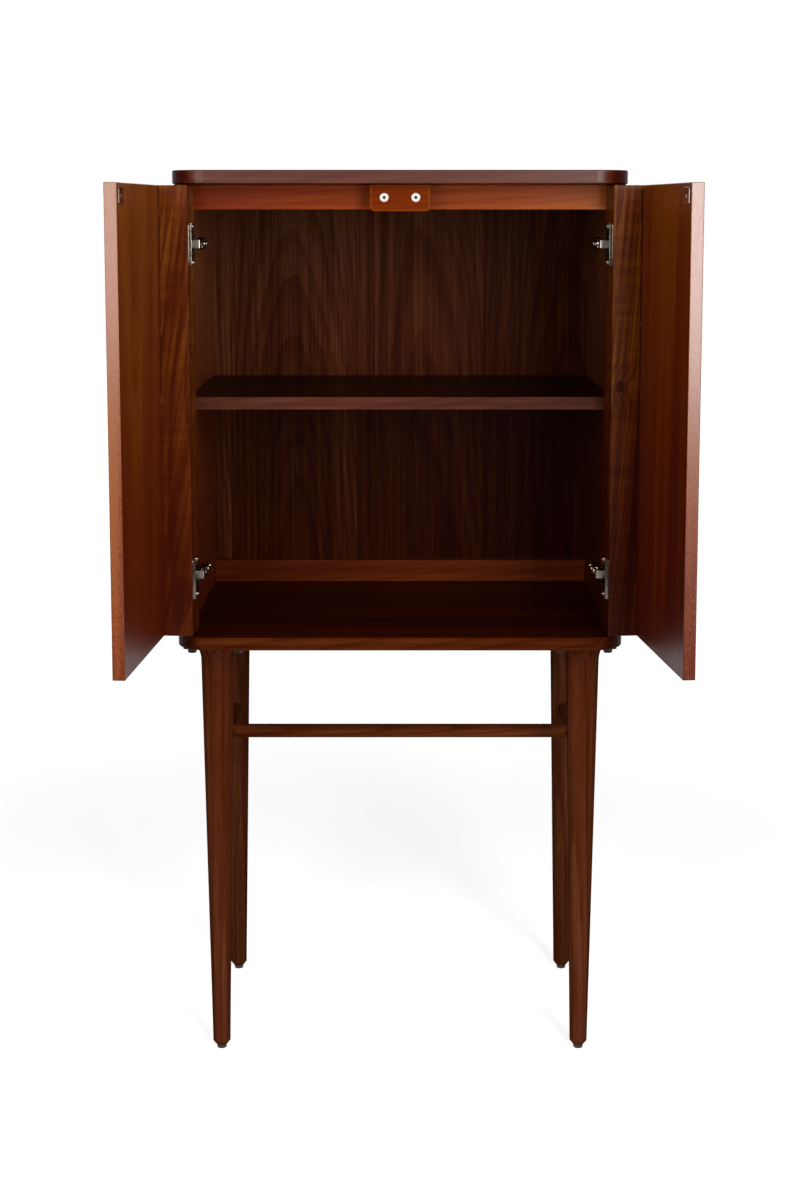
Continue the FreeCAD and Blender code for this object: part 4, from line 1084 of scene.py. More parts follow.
class Workpiece:
    """A piece under construction, put together from plates with eased edges."""

    def __init__(self, name: str) -> None:
        """Start an empty piece."""
        self.name = name
        self.solid = bmesh.new()

    def plate(self, plane: Plane, span: tuple[float, float], outline: Sequence[Vector],
              ease: float, hole: Sequence[Vector] | None = None) -> None:
        """Add a plate.

        Args:
            plane: Plane that the plate is cut in.
            span: Where it starts and ends, square to that plane.
            outline: Its outer line.
            ease: Radius of its edges.
            hole: The line of a hole through it, or None.
        """
        curve = bpy.data.curves.new(self.name, "CURVE")
        curve.dimensions = "2D"
        curve.fill_mode = "BOTH"
        curve.extrude = abs(span[1] - span[0]) / 2 - ease
        curve.bevel_depth, curve.bevel_resolution, curve.offset = ease, 1, -ease
        for line in (outline, list(reversed(hole or ()))):
            if line:
                spline = curve.splines.new("POLY")
                spline.points.add(len(line) - 1)
                spline.points.foreach_set("co", [c for spot in line for c in (*spot, 0.0, 1.0)])
                spline.use_cyclic_u = True
        thing = stand(self.name, curve)
        flat = plain_mesh(thing)
        bpy.data.objects.remove(thing)
        turn = Euler(plane.value).to_matrix()
        square = Vector(abs(c) for c in turn @ UPWARDS)
        flat.transform(Matrix.Translation(square * sum(span) / 2) @ turn.to_4x4())
        blank = bmesh.new()
        blank.from_mesh(flat)
        bmesh.ops.remove_doubles(blank, verts=blank.verts, dist=WELD)
        blank.to_mesh(flat)
        blank.free()
        self.solid.from_mesh(flat)

    def finish(self, material: bpy.types.Material, place: Matrix) -> bpy.types.Object:
        """Put the piece in its place and give it its material.

        Args:
            material: The material.
            place: The piece's place and turn.

        Returns:
            The piece.
        """
        bmesh.ops.transform(self.solid, matrix=place, verts=self.solid.verts)
        bmesh.ops.recalc_face_normals(self.solid, faces=self.solid.faces)
        mesh = bpy.data.meshes.new(self.name)
        self.solid.to_mesh(mesh)
        self.solid.free()
        coat(mesh, material, PLATE_EDGE)
        return stand(self.name, mesh)


# ---------------------------------------------------------------------------------------------
# Shared handwork
# ---------------------------------------------------------------------------------------------
SIDES = {"left": -1, "right": 1}
ROWS = ("front", "back")
PLACES = ("upper", "lower")
BACKWARDS = Vector((0.0, 1.0, 0.0))


def islands(node: str) -> list[list[Vector]]:
    """Split a node's mesh into its separate solids.

    Args:
        node: Name of the node.

    Returns:
        The corners of each solid.
    """
    mesh = frame["nodes"][node].data
    places = {}
    for vertex in mesh.vertices:
        places.setdefault(tuple(round(c, 6) for c in vertex.co), []).append(vertex.index)
    owner = list(range(len(mesh.vertices)))

    def root(item: int) -> int:
        """Follow a corner to the one that stands for its solid.

        Args:
            item: Number of the corner.

        Returns:
            Number of the one that stands for its solid.
        """
        while owner[item] != item:
            owner[item] = owner[owner[item]]
            item = owner[item]
        return item

    for same in places.values():
        for other in same[1:]:
            owner[root(other)] = root(same[0])
    for edge in mesh.edges:
        owner[root(edge.vertices[0])] = root(edge.vertices[1])
    solids: dict[int, list[Vector]] = {}
    for vertex in mesh.vertices:
        solids.setdefault(root(vertex.index), []).append(vertex.co.copy())
    return list(solids.values())


def seats(node: str, facing: Vector, head: float) -> list[Seat]:
    """Find where the heads of a node's fasteners sit.

    Args:
        node: Name of the node.
        facing: Way that the heads face.
        head: Height of a head.

    Returns:
        The middle of each head's underside, with the way that it faces.
    """
    found = []
    for solid in islands(node):
        low = Vector(min(corner[i] for corner in solid) for i in range(3))
        high = Vector(max(corner[i] for corner in solid) for i in range(3))
        middle = (low + high) / 2
        top = max(corner.dot(facing) for corner in solid)
        found.append((middle + facing * (top - head - middle.dot(facing)), facing))
    return found


def fit(piece: bpy.types.Object, node: str) -> None:
    """Let a piece stand for a node and ride on its body.

    Args:
        piece: The piece.
        node: The node that it replaces.
    """
    parts = frame["record"]["subparts"]
    next(part["material_slot"] for part in parts if part["node"] == node)
    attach(piece, frame["nodes"][node]["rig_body"])
    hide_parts(node)
    log.info("%s stands for %s", piece.name, node)


def dress(node: str, material: bpy.types.Material) -> None:
    """Give a node of the construction its material.

    Args:
        node: Name of the node.
        material: The material.
    """
    thing = frame["nodes"][node]
    thing.data.materials.clear()
    thing.data.materials.append(material)
    log.info("dressed %s in %s", node, material.name)


def dress_board(node: str, timber: Timber, cut: Cut) -> None:
    """Dress a board that is cut round its own middle and worn along its own edges."""
    placed = replace(cut, centre=tuple(middle_of(node)), half=tuple(half_of(node)))
    dress(node, timber.material(f"walnut_{node}", placed))


def hinge_turn(side: str) -> tuple[Vector, float]:
    """Find a door's hinge line and the angle by which the door stands open.

    Args:
        side: The door's side.

    Returns:
        A point of the hinge line and the angle about Z.
    """
    joint = next(joint for joint in frame["joints"] if joint["name"] == f"{side}_door_hinge")
    return Vector(joint["pos_m"]), SIDES[side] * math.radians(joint["range_deg"][1])


def hinge_places(side: str, node: str) -> tuple[Matrix, Matrix]:
    """Find the place of a door's hinge line at the height of a node.

    Args:
        side: The door's side.
        node: Name of the node.

    Returns:
        The place on the case, and the same place turned with the open door.
    """
    pivot, turn = hinge_turn(side)
    pivot.z = middle_of(node).z
    place = Matrix.Translation(pivot)
    return place, place @ Matrix.Rotation(turn, 4, "Z")


def middle_of(node: str) -> Vector:
    """Find the middle of a node's box."""
    low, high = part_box(node)
    return (Vector(low) + Vector(high)) / 2


def half_of(node: str) -> Vector:
    """Find the half sizes of a node's box."""
    low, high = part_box(node)
    return (Vector(high) - Vector(low)) / 2


# ---------------------------------------------------------------------------------------------
# Sub-assemblies
# ---------------------------------------------------------------------------------------------
@dataclass
class Carcass:
    """Slabs, side panels, back, rails and shelf.

    Attributes:
        leaf_width: Width of the back panel's veneer leaves.
        first_seam: One of their seams, from the middle of the back.
    """

    leaf_width: float = 0.195
    first_seam: float = -0.0666

    def dress(self) -> None:
        """Give each board its own cut of walnut."""
        quiet = {"rings": 0.12, "streaks": 0.6, "wander": 0.02}
        # The faces tones, darker than the bodies, are painted shade on the broad faces.
        slab = Timber(body="572616", faces="320e06", polish=0.6, haze=0.34, end_grain=0.6,
                      lustre=0.03, **quiet)
        base = Timber(body="421603", faces="340b00", end_grain=0.45, lustre=0.02, **quiet)
        shelf = Timber(body="53281a", faces="190300", **quiet)
        boards = (("top_panel", slab), ("base_panel", base), ("shelf", shelf))
        for seed, (node, timber) in enumerate(boards):
            cut = Cut(grain=Grain.SIDEWAYS, pith=(0.09, 0.05), seed=1.3 + seed)
            dress_board(node, timber, cut)
        # Painted light: the left side panel is a lighter tone than the right one.
        for seed, (side, body) in enumerate((("left", "763617"), ("right", "53250f"))):
            # Painted light: each side panel grows lighter towards the top.
            panel = Timber(body=body, painted_light_slope=1.3)
            dress_board(f"side_panel_{side}", panel, Cut(pith=(0.15, 0.03), seed=5.1 + seed))
        # Painted light: the back grows lighter towards the top.
        back = Timber(body="3b1606", bands=0.6, rings=0.12, ring=0.0085, streaks=0.6, fibres=0.7,
                      pores=0.45, wander=0.08, painted_light_slope=0.7, lustre=0.03, worn=0.0, contrast=0.17)
        # Painted shade: the back's leaves grow darker one by one towards the right.
        leaves = Cut(pith=(0.02, 0.09), lean=(0.04, -0.06), seed=7.7,
                     leaf=(self.leaf_width, self.first_seam), leaf_shade_and_heart_step=(0.41, 0.03))
        dress_board("back_panel", back, leaves)
        plain = {"bands": 0.7, "rings": 0.1, "pores": 0.12}
        # Painted light: the front rail grows lighter towards one end.
        front = Timber(body="8d3c10", painted_light_slope=1.0, contrast=0.16, **plain)
        behind = Timber(body="561d02", **plain)
        rails = (("front_top_rail", front), ("back_top_rail", behind), ("back_bottom_rail", behind))
        for seed, (node, timber) in enumerate(rails):
            cut = Cut(grain=Grain.SIDEWAYS, pith=(0.04, 0.05), seed=7.2 + seed)
            dress_board(node, timber, cut)


@dataclass
class Catch:
    """Magnet block under the front rail, with two flat ring magnets.

    Attributes:
        radius, bore: Radii of a magnet and of the hole through it.
        edge: Radius of a magnet's rims.
    """

    radius: float = 6.0 * MM
    bore: float = 1.9 * MM
    edge: float = 0.4 * MM

    def build(self, satin: bpy.types.Material) -> None:
        """Dress the block and make the magnets.

        Args:
            satin: Finish of the magnets.
        """
        # The block's strongly lightened arrises are partly painted highlight.
        block = Timber(body="6a2300", bands=0.6, rings=0.08, pores=0.06, lustre=0.04, worn=0.7)
        dress_board("magnet_block", block, Cut(grain=Grain.SIDEWAYS, pith=(0.05, 0.04), seed=3.9))
        low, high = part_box("catch_magnets")
        magnets = Workpiece("ring_magnets")
        for x in (low[0] + self.radius, high[0] - self.radius):
            rim, hole = (ring_line((x, (low[2] + high[2]) / 2), radius)
                         for radius in (self.radius, self.bore))
            magnets.plate(Plane.FACING_FRONT, (low[1], high[1]), rim, self.edge, hole)
        fit(magnets.finish(satin, Matrix.Identity(4)), "catch_magnets")


@dataclass
class Door:
    """One door: a thin leaf glued into a thick hinge stile.

    Attributes:
        side: Side of the case that the door hangs on.
        leaf_body, stile_body: Middle tones, the right door's darker than the left's as painted
            shade.
        slant: Slope of the stile's fibres.
        knots: Knots in the stile, as (depth, height, size) from the hinge line's middle.
        leaf_end, seam: Distance from the hinge line to the end of the leaf and to its stile.
        lipping_thick: Thickness of the strip on the end of the leaf.
        leaf_back: Depth of the leaf's inner face in front of the hinge line.
        strike: Distance from the hinge line to the middle of the strike plate.
        strike_width, strike_height, strike_thick: Sizes of the strike plate.
        strike_corner, strike_hole, strike_edge: Radii of its corners, its hole and its rim.
    """

    side: str
    leaf_body: str
    stile_body: str
    slant: float = 0.0
    knots: tuple[tuple[float, float, float], ...] = ()
    leaf_end: float = 288.5 * MM
    lipping_thick: float = 0.5 * MM
    seam: float = 42.0 * MM
    leaf_back: float = 26.5 * MM
    strike: float = 269.0 * MM
    strike_width: float = 24.0 * MM
    strike_height: float = 21.0 * MM
    strike_thick: float = 1.2 * MM
    strike_corner: float = 2.0 * MM
    strike_hole: float = 2.25 * MM
    strike_edge: float = 0.55 * MM

    def build(self, steel: bpy.types.Material) -> None:
        """Dress the wood and press the strike plate.

        Args:
            steel: Finish of the strike plate.
        """
        self._dress()
        node = f"strike_plate_{self.side}"
        across = -SIDES[self.side] * self.strike
        wide, high = self.strike_width / 2, self.strike_height / 2
        line = box_line((across - wide, -high), (across + wide, high), self.strike_corner)
        plate = Workpiece(f"pressed_plate_{self.side}")
        plate.plate(Plane.FACING_FRONT, (-self.leaf_back, self.strike_thick - self.leaf_back),
                    line, self.strike_edge, ring_line((across, 0.0), self.strike_hole))
        _, opened = hinge_places(self.side, node)
        fit(plate.finish(steel, opened), node)

    def _dress(self) -> None:
        """Dress the leaf and the stile, each cut in the door's shut place."""
        middle, turn = hinge_turn(self.side)
        shut = Cut(centre=tuple(middle), turn=turn, seed=4.4 + SIDES[self.side])
        # Painted light: leaf and stile grow lighter towards the top.
        leaf = Timber(body=self.leaf_body, bands=1.0, rings=0.12, ring=0.016, streaks=0.8,
                      fibres=0.5, pores=0.14, wander=0.05, painted_light_slope=1.1, lustre=0.35, polish=0.97,
                      strip=0.46)
        stile = Timber(body=self.stile_body, bands=1.1, rings=0.2, streaks=0.9, curl=0.4,
                       painted_light_slope=0.5, contrast=0.18)
        # Painted highlight: the leaf's edge strip is lightened, more towards the top.
        cut = replace(shut, pith=(0.2, 0.12), lipping=self.leaf_end - self.lipping_thick,
                      seam=(self.seam, self.leaf_back))
        dress(f"door_leaf_{self.side}", leaf.material(f"walnut_leaf_{self.side}", cut))
        cut = replace(shut, pith=(0.03, 0.05), lean=(0.05, 0.02), seed=shut.seed + 0.6,
                      slant=self.slant, turn=turn + math.pi / 2, knots=self.knots,
                      seam=(self.leaf_back, self.seam))
        dress(f"door_stile_{self.side}", stile.material(f"walnut_stile_{self.side}", cut))


@dataclass
class Underframe:
    """Turned legs and stretchers.

    Attributes:
        foot, neck: Radius of a leg above its chamfer and under its flare.
        chamfer, chamfer_height: Chamfer round the foot.
        floor_gap: Height of a leg's end over the floor.
        flare, flare_height: Radius and height of the hollow flare.
        top: Height of the legs' top.
    """

    foot: float = 12.2 * MM
    neck: float = 22.5 * MM
    chamfer: float = 4.2 * MM
    chamfer_height: float = 5.5 * MM
    floor_gap: float = 5.5 * MM
    flare: float = 40.0 * MM
    flare_height: float = 25.0 * MM
    top: float = 589.0 * MM

    def build(self) -> None:
        """Turn the legs and dress the stretchers."""
        grown = {"bands": 0.9, "rings": 0.16, "wander": 0.02, "contrast": 0.16, "fibres": 0.5,
                 "lustre": 0.0}
        sizes = {
            "Foot Radius": self.foot,
            "Neck Radius": self.neck,
            "Chamfer": self.chamfer,
            "Foot Height": self.floor_gap,
            "Shoulder Height": self.floor_gap + self.chamfer_height,
            "Neck Height": self.top - self.flare_height,
            "Flare Radius": self.flare,
            "Flare Angle": math.asin(self.flare_height / self.flare),
        }
        jig = leg_jig()
        for seed, (row, body) in enumerate(zip(ROWS, ("5a2c18", "4b2513"))):
            timber = Timber(body=body, **grown)
            for side, sign in SIDES.items():
                node = f"leg_{row}_{side}"
                middle = middle_of(node)
                cut = Cut(pith=(0.03 * sign, 0.05), lean=(0.02, 0.03), seed=seed + 8.1,
                          centre=tuple(middle))
                walnut = timber.material(f"walnut_{node}", cut)
                spot = Vector((middle.x, middle.y, 0.0))
                leg = jig.grow(f"turned_{node}", [(spot, UPWARDS)], {**sizes, "Material": walnut})
                fit(leg, node)
        timber = Timber(body="572811", **grown)
        stretchers = {"side_stretcher_left": Grain.ENDWAYS, "side_stretcher_right": Grain.ENDWAYS,
                      "cross_stretcher": Grain.SIDEWAYS}
        for seed, (node, grain) in enumerate(stretchers.items()):
            cut = Cut(grain=grain, pith=(0.03, 0.04), seed=6.1 + seed,
                      centre=tuple(middle_of(node)))
            dress(node, timber.material(f"walnut_{node}", cut))


@dataclass
class Hardware:
    """Finishes of the metal and nylon, and the pieces that keep the construction's own shape.

    Attributes:
        finishes: Each finish under its name.
    """

    finishes: dict[str, bpy.types.Material] = field(default_factory=dict)

    def dress(self) -> None:
        """Make each finish and dress its nodes."""
        metals = {
            "nickel_plate": Metal("c2b6a8", "a39889", gloss=0.09),
            "brushed_nickel": Metal("cfc8bd", "b5aea3", gloss=0.25),
            "satin_nickel": Metal("ddd6cf", "c9c2ba", gloss=0.38, metallic=0.8),
            "polished_steel": Metal("9a9088", "7d736b", gloss=0.07),
            "dark_steel": Metal("1b1a1a", "2e2b28", metallic=0.4, gloss=0.42),
            "zinc_steel": Metal("a9abb0", "8b8c90", gloss=0.34),
        }
        beech = Timber(body="c09a68", bands=0.5, rings=0.1)
        self.finishes = {name: metal.material(name) for name, metal in metals.items()}
        self.finishes["black_plastic"] = Nylon().material("black_nylon")
        self.finishes["beech"] = beech.material("beech", Cut(seed=0.4))
        for part in frame["record"]["subparts"]:
            if part["material_slot"] in self.finishes:
                dress(part["node"], self.finishes[part["material_slot"]])


COLLAR_STEPS = 12  # steps round the part of a flange that follows its cup


@dataclass
class Hinge:
    """One cup hinge: a cup with a lipped flange on the stile, an arm and its housing on the case.

    Attributes:
        side, place: Which hinge this is.
        flange_face, flange_thick: Stile's face behind the hinge line, and the flange on it.
        flange_low, flange_high, flange_half: Flange's reach across, and its half length.
        flange_corner: Radius of the flange's corners.
        cup_offset, cup_inside, cup_outside: Cup's centre from the hinge line, and its radii.
        cup_floor, cup_wall: Depth of the cup's floor in front of the hinge line, and its wall.
        collar, collar_radius, collar_height: Round part of the flange, and the rim on it.
        lip_start, lip_thick, lip_height, lip_corner: Upturned lip on the flange.
        cup_ease, arm_ease, housing_ease: Radii of the edges of cup, arm and housing.
        eye, bore: Arm's eye round the pin.
        arm_half, arm_thick, arm_reach: Arm's half width, its web, and its inside face.
        web_start: Distance from the hinge line to the start of the web.
        elbow, inner_elbow: Radii of the arm's bend.
        housing_start, housing_end, housing_half: Housing along the case and its half width.
        housing_inside, housing_outside, housing_corner: Housing's faces and its corners.
    """

    side: str
    place: str
    flange_face: float = 12.5 * MM
    flange_thick: float = 1.0 * MM
    flange_low: float = -2.0 * MM
    flange_high: float = 39.0 * MM
    flange_half: float = 28.0 * MM
    flange_corner: float = 4.0 * MM
    cup_offset: float = 11.0 * MM
    cup_inside: float = 16.0 * MM
    cup_outside: float = 17.5 * MM
    cup_floor: float = -5.0 * MM
    cup_wall: float = 1.5 * MM
    collar: float = 19.0 * MM
    collar_radius: float = 18.2 * MM
    collar_height: float = 0.6 * MM
    lip_start: float = 29.8 * MM
    lip_thick: float = 1.2 * MM
    lip_height: float = 1.7 * MM
    lip_corner: float = 0.4 * MM
    cup_ease: float = 0.07 * MM
    arm_ease: float = 0.15 * MM
    housing_ease: float = 1.6 * MM
    eye: float = 3.1 * MM
    bore: float = 1.6 * MM
    arm_half: float = 5.25 * MM
    arm_thick: float = 2.4 * MM
    arm_reach: float = 18.8 * MM
    web_start: float = 1.92 * MM
    elbow: float = 1.0 * MM
    inner_elbow: float = 0.4 * MM
    housing_start: float = 22.0 * MM
    housing_end: float = 76.0 * MM
    housing_half: float = 8.8 * MM
    housing_inside: float = 14.0 * MM
    housing_outside: float = 22.6 * MM
    housing_corner: float = 8.7 * MM

    def build(self, nickel: bpy.types.Material, brushed: bpy.types.Material) -> None:
        """Make the cup, the arm and the housing.

        Args:
            nickel: Finish of the cup and the housing.
            brushed: Finish of the arm.
        """
        node = f"hinge_arm_{self.place}_{self.side}"
        place, opened = hinge_places(self.side, node)
        fit(self._arm().finish(brushed, place), node)
        housing = self._housing().finish(nickel, place)
        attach(housing, frame["nodes"][node]["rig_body"])
        log.info("%s covers the arm's foot", housing.name)
        fit(self._cup().finish(nickel, opened), f"hinge_cup_{self.place}_{self.side}")

    def _across(self, line: Sequence[Vector]) -> list[Vector]:
        """Turn a line drawn outwards from the hinge line towards the middle of the case.

        Args:
            line: The line.

        Returns:
            The line, still drawn the same way round.
        """
        way = -SIDES[self.side]
        line = [Vector((way * spot.x, spot.y)) for spot in line]
        return line if way > 0 else line[::-1]

    def _flange_line(self) -> list[Vector]:
        """Draw the flange: a rectangle with the collar swelling out of its inner side.

        Returns:
            The points of the line.
        """
        half, corner = self.flange_half, self.flange_corner
        back = self.cup_offset - self.flange_low
        spread = math.atan2(math.sqrt(self.collar ** 2 - back ** 2), back)
        arc = []
        for step in range(COLLAR_STEPS + 1):
            angle = math.pi - spread + 2 * spread * step / COLLAR_STEPS
            x, y = self.collar * math.cos(angle), self.collar * math.sin(angle)
            arc.append((self.cup_offset + x, y, 0.0))
        return drawn([(self.flange_low, -half, corner), (self.flange_high, -half, corner),
                      (self.flange_high, half, corner), (self.flange_low, half, corner), *arc])

    def _cup(self) -> Workpiece:
        """Put the cup together, as its door lies shut.

        Returns:
            The cup.
        """
        cup = Workpiece(f"lipped_cup_{self.place}_{self.side}")
        half, centre = self.flange_half, (self.cup_offset, 0.0)
        face, floor = self.flange_face + self.flange_thick, self.cup_floor + self.cup_wall
        inside = self._across(ring_line(centre, self.cup_inside))
        outside, rim = ring_line(centre, self.cup_outside), ring_line(centre, self.collar_radius)
        lip = box_line((self.lip_start, -half), (self.lip_start + self.lip_thick, half),
                       self.lip_corner)
        for span, line, hole in (
            ((self.flange_face, face), self._flange_line(), inside),
            ((face, face + self.lip_height), lip, None),
            ((face, face + self.collar_height), rim, inside),
            ((floor, self.flange_face), outside, inside),
            ((self.cup_floor, floor), outside, None),
        ):
            cup.plate(Plane.FACING_FRONT, span, self._across(line), self.cup_ease, hole)
        return cup

    def _arm(self) -> Workpiece:
        """Put the arm together: an eye on the pin and a square bend.

        Returns:
            The arm.
        """
        arm = Workpiece(f"cranked_arm_{self.place}_{self.side}")
        web, inside = self.arm_thick / 2, self.arm_reach
        outside, foot = inside + self.arm_thick, self.housing_start + self.elbow
        eye, bore = ring_line((0.0, 0.0), self.eye), ring_line((0.0, 0.0), self.bore)
        bend = drawn([
            (self.web_start, -web, 0.0), (outside, -web, self.elbow), (outside, foot, 0.0),
            (inside, foot, 0.0), (inside, web, self.inner_elbow), (self.web_start, web, 0.0)])
        for line, hole in ((eye, self._across(bore)), (bend, None)):
            arm.plate(Plane.LEVEL, (-self.arm_half, self.arm_half), self._across(line),
                      self.arm_ease, hole)
        return arm

    def _housing(self) -> Workpiece:
        """Make the round-ended housing that joins the arm to its plate.

        Returns:
            The housing.
        """
        housing = Workpiece(f"hinge_housing_{self.place}_{self.side}")
        way, half = -SIDES[self.side], self.housing_half
        line = box_line((self.housing_start, -half), (self.housing_end, half), self.housing_corner)
        housing.plate(Plane.FACING_SIDE, (way * self.housing_inside, way * self.housing_outside),
                      line, self.housing_ease)
        return housing


@dataclass(frozen=True)
class Screw:
    """Sizes of a cross-headed screw, in the order of the rule's own.

    Attributes:
        head, under: Radius of the head at its top and at its underside.
        height, dome: Height of the head, and how far its top is drawn in, as a share.
        reach, slot, depth: Reach, width and depth of the cross recess.
        shank, length: Radius and length of the shank.
    """

    head: float
    under: float
    height: float
    dome: float
    reach: float
    slot: float
    depth: float
    shank: float
    length: float

    def sizes(self) -> dict[str, float]:
        """Name the sizes as the rule does."""
        return dict(zip(SCREW_SIZES, astuple(self)))


@dataclass(frozen=True)
class Bolt:
    """Sizes of a hexagon bolt with a washer, in the order of the rule's own.

    Attributes:
        flats: Half the width across the flats.
        height: Height of the head.
        washer, thick: Radius and thickness of the washer.
        shank, length: Radius and length of the shank.
    """

    flats: float
    height: float
    washer: float
    thick: float
    shank: float
    length: float

    def sizes(self) -> dict[str, float]:
        """Name the sizes as the rule does."""
        return dict(zip(BOLT_SIZES, astuple(self)))


@dataclass
class Fasteners:
    """Cross-headed screws and hexagon bolts.

    Attributes:
        hinge, strike, back: Screws of the hinges, the strike plates and the back panel.
        bolt: Bolts under the leg plates.
        lift: Height of the arm's screws over the arm, on its housing.
    """

    hinge: Screw = Screw(head=3.3 * MM, under=3.3 * MM, height=1.8 * MM, dome=0.4, reach=1.7 * MM,
                         slot=0.6 * MM, depth=1.0 * MM, shank=1.5 * MM, length=8.0 * MM)
    strike: Screw = Screw(head=2.2 * MM, under=2.0 * MM, height=0.8 * MM, dome=0.7, reach=1.3 * MM,
                          slot=0.45 * MM, depth=0.5 * MM, shank=1.2 * MM, length=9.0 * MM)
    back: Screw = Screw(head=3.2 * MM, under=3.2 * MM, height=1.2 * MM, dome=0.3, reach=1.7 * MM,
                        slot=0.6 * MM, depth=0.7 * MM, shank=1.6 * MM, length=16.0 * MM)
    bolt: Bolt = Bolt(flats=5.5 * MM, height=5.2 * MM, washer=6.4 * MM, thick=1.5 * MM,
                      shank=3.0 * MM, length=14.0 * MM)
    lift: float = 1.4 * MM

    def build(self, finishes: Mapping[str, bpy.types.Material]) -> None:
        """Drive every screw and bolt.

        Args:
            finishes: Materials by slot.
        """
        jig, nickel = screw_jig(), finishes["nickel_plate"]
        for side in SIDES:
            inner = Matrix.Rotation(hinge_turn(side)[1], 3, "Z") @ BACKWARDS
            for node, screw in ((f"cup_screws_{side}", self.hinge),
                                (f"strike_screw_{side}", self.strike)):
                self._drive(jig, node, seats(node, inner, screw.height), screw, nickel)
        for node, lift in (("plate_screws", 0.0), ("arm_screws", self.lift)):
            seated = []
            for sign in SIDES.values():
                inner = Vector((-sign, 0.0, 0.0))
                for spot, way in seats(node, inner, self.hinge.height):
                    if spot.x * sign > 0:
                        seated.append((spot + way * lift, way))
            self._drive(jig, node, seated, self.hinge, nickel)
        seated = seats("back_screws", BACKWARDS, self.back.height)
        self._drive(jig, "back_screws", seated, self.back, finishes["zinc_steel"])
        seated = seats("plate_bolts", DOWNWARDS, self.bolt.height + self.bolt.thick)
        self._drive(bolt_jig(), "plate_bolts", seated, self.bolt, finishes["dark_steel"])

    @staticmethod
    def _drive(jig: Jig, node: str, seated: Sequence[Seat], kind: Screw | Bolt,
               material: bpy.types.Material) -> None:
        """Set one node's fasteners in their places."""
        sizes = {**kind.sizes(), "Material": material}
        fit(jig.grow(f"driven_{node}", seated, sizes), node)


@dataclass(frozen=True)
class SoftBox:
    """A tall lamp with an even face.

    Attributes:
        name: The lamp's name.
        place: Where it stands.
        width, height: Sizes of its face.
        power: Its light, in watts.
    """

    name: str
    place: tuple[float, float, float]
    width: float
    height: float
    power: float

    def build(self, aim: Vector) -> None:
        """Stand the lamp up.

        Args:
            aim: Spot that it looks at.
        """
        data = bpy.data.lights.new(self.name, "AREA")
        data.shape = "RECTANGLE"
        data.size, data.size_y = self.width, self.height
        data.energy = self.power
        lamp = stand(self.name, data)
        lamp.location = self.place
        lamp.rotation_euler = (aim - Vector(self.place)).to_track_quat("-Z", "Y").to_euler()


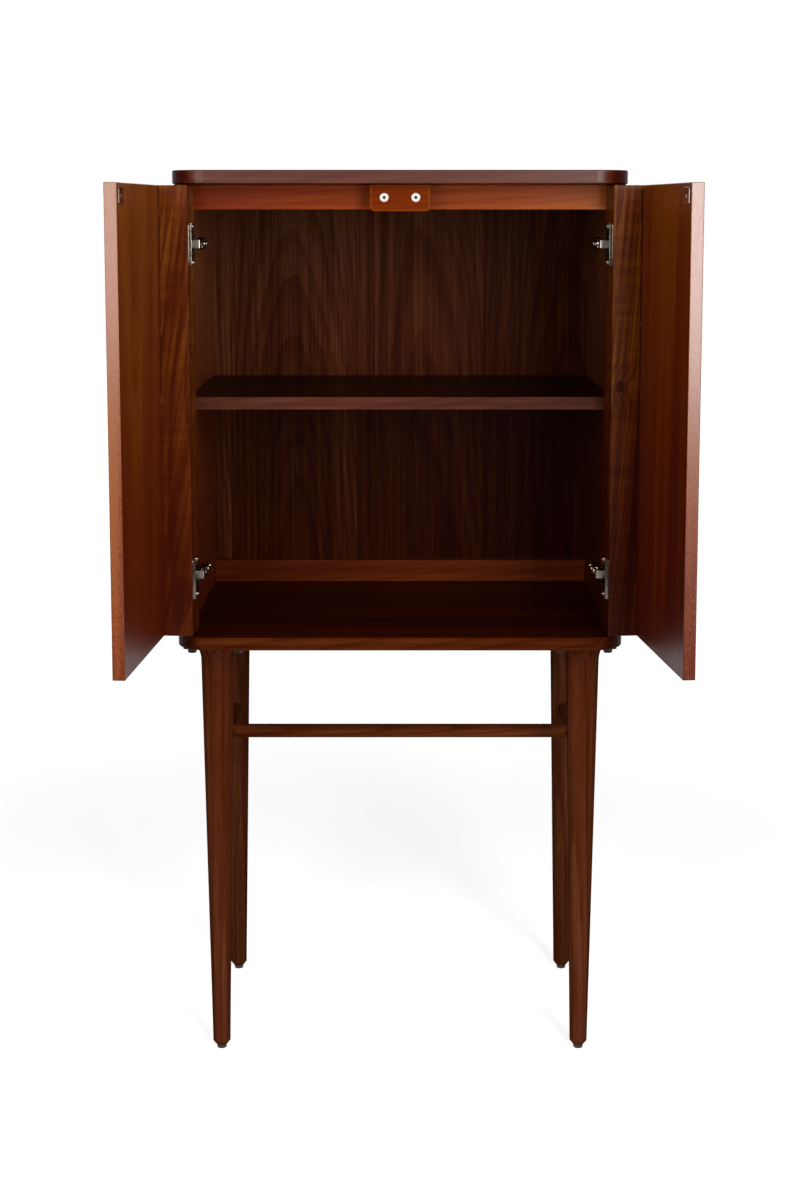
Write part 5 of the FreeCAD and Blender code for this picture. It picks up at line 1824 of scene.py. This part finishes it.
@dataclass
class Studio:
    """Camera, floor, lamps and backdrop.

    Attributes:
        eye: Place of the camera.
        dip: Angle by which the camera looks down.
        lens: Focal length on a sensor 36 mm high.
        rise: Lens shift that puts the horizon where it belongs.
        sensor: Height of the sensor.
        boxes: The lamps, one at each side of the camera, the right one the stronger.
        aim: Spot that the lamps look at.
        room: Light that reaches the object from all round.
        floor_reach: Half size of the floor.
        floor_front, floor_dark: Where the floor starts to look dark in metal, and how dark.
        floor_mirrored: Share of the floor's glow that metal shows of the dark part.
        glow, glow_fade: Floor's own glow under the object, and where it has grown to white.
    """

    eye: tuple[float, float, float] = (0.0, -2.5535, 1.181)
    dip: float = math.radians(6.78)
    lens: float = 55.8
    rise: float = -0.1379
    sensor: float = 36.0
    boxes: tuple[SoftBox, ...] = (
        SoftBox("box_right", (1.15, -2.9, 1.75), 0.9, 2.2, 71.0),
        SoftBox("box_left", (-1.35, -2.8, 1.8), 1.3, 2.1, 45.0),
    )
    aim: Vector = field(default_factory=lambda: Vector((0.0, 0.0, 0.95)))
    room: float = 0.07
    floor_reach: float = 12.0
    floor_front: float = -1.2
    floor_dark: float = 0.7
    floor_mirrored: float = 0.1
    glow: float = 0.77
    glow_fade: tuple[float, float] = (0.9, 2.4)

    def build(self) -> None:
        """Set up everything round the object."""
        self._camera()
        self._floor()
        for box in self.boxes:
            box.build(self.aim)
        self._world()
        bpy.context.scene.view_settings.view_transform = "Standard"

    def _camera(self) -> None:
        """Place the camera."""
        data = bpy.data.cameras.new("camera")
        data.sensor_fit = "VERTICAL"
        data.sensor_height = self.sensor
        data.lens = self.lens
        data.shift_y = self.rise
        data.clip_end = 50.0
        camera = stand("camera", data)
        camera.location = self.eye
        camera.rotation_euler = (math.pi / 2 - self.dip, 0.0, 0.0)
        bpy.context.scene.camera = camera

    @staticmethod
    def _rays(graph: Graph) -> tuple[Wire, Wire]:
        """Tell what looks at a spot.

        Args:
            graph: Graph of the floor or the backdrop.

        Returns:
            1 for the camera, and 1 for metal or glass that mirrors the spot.
        """
        path = graph.add("ShaderNodeLightPath")
        mirrored = graph.out(path, "Is Glossy Ray").at_least(graph.out(path, "Is Transmission Ray"))
        return graph.out(path, "Is Camera Ray"), mirrored

    def _floor(self) -> None:
        """Lay a white floor that keeps a faint shadow."""
        reach = self.floor_reach
        corners = [(x, y, 0.0) for x, y in ((-reach, -reach), (reach, -reach), (reach, reach),
                                            (-reach, reach))]
        mesh = bpy.data.meshes.new("floor")
        mesh.from_pydata(corners, [], [(0, 1, 2, 3)])
        floor = stand("floor", mesh)
        material, graph = new_material("floor_paper")
        place = graph.place()
        seen, mirrored = self._rays(graph)
        behind = graph.split(place)[1].rise(self.floor_front, 0.0)
        colour = graph.blend(graph.noise(place, Cells.TOOTH), shade("e6e6e6"), shade("f0f0f0"))
        dark = mirrored * (1.0 - behind) * self.floor_dark
        paper = graph.node("ShaderNodeBsdfDiffuse", None,
                           {"Color": graph.blend(dark, colour, shade("000000"))})
        bright = mirrored * (self.floor_mirrored + behind * (1.0 - self.floor_mirrored))
        from_middle = graph.node("ShaderNodeVectorMath", {"operation": "LENGTH"},
                                 {0: place}, "Value")
        fade = self.glow + from_middle.rise(*self.glow_fade) * (1.0 - self.glow)
        glow = graph.node("ShaderNodeEmission", None,
                          {"Color": WHITE, "Strength": seen.at_least(bright) * fade})
        both = graph.node("ShaderNodeAddShader", None, {0: paper, 1: glow})
        graph.add("ShaderNodeOutputMaterial", None, {"Surface": both})
        mesh.materials.append(material)

    def _world(self) -> None:
        """Light faintly from all round, with a white backdrop behind and a dim room in front."""
        world = bpy.data.worlds.new("studio")
        world.use_nodes = True
        world.node_tree.nodes.clear()
        graph = Graph(world.node_tree)
        seen, mirrored = self._rays(graph)
        way = graph.node("ShaderNodeTexCoord", output="Generated")
        towards_back = graph.split(way)[1].rise(0.1, 0.5)
        strength = self.room + seen.at_least(mirrored * towards_back) * (1.0 - self.room)
        sky = graph.node("ShaderNodeBackground", None, {"Color": WHITE, "Strength": strength})
        graph.add("ShaderNodeOutputWorld", None, {"Surface": sky})
        bpy.context.scene.world = world


def main() -> None:
    """Build the studio and dress the cabinet, piece by piece."""
    logging.basicConfig(level=logging.INFO, format="%(name)s: %(message)s")
    Studio().build()
    hardware = Hardware()
    hardware.dress()
    finishes = hardware.finishes
    for side in SIDES:
        for place in PLACES:
            Hinge(side, place).build(finishes["nickel_plate"], finishes["brushed_nickel"])
    Fasteners().build(finishes)
    Carcass().dress()
    Catch().build(finishes["satin_nickel"])
    # Painted shade: the right door's leaf and stile are darker tones than the left door's.
    left = Door("left", leaf_body="732c03", stile_body="632904", slant=-0.19, strike_edge=0.12 * MM)
    left.build(finishes["polished_steel"])
    knots = ((3.0 * MM, 37.0 * MM, 7.0 * MM), (-24.0 * MM, 65.0 * MM, 1.5 * MM))
    right = Door("right", leaf_body="642000", stile_body="4b1a01", slant=0.05, knots=knots)
    right.build(finishes["polished_steel"])
    Underframe().build()


if __name__ == "__main__":
    main()
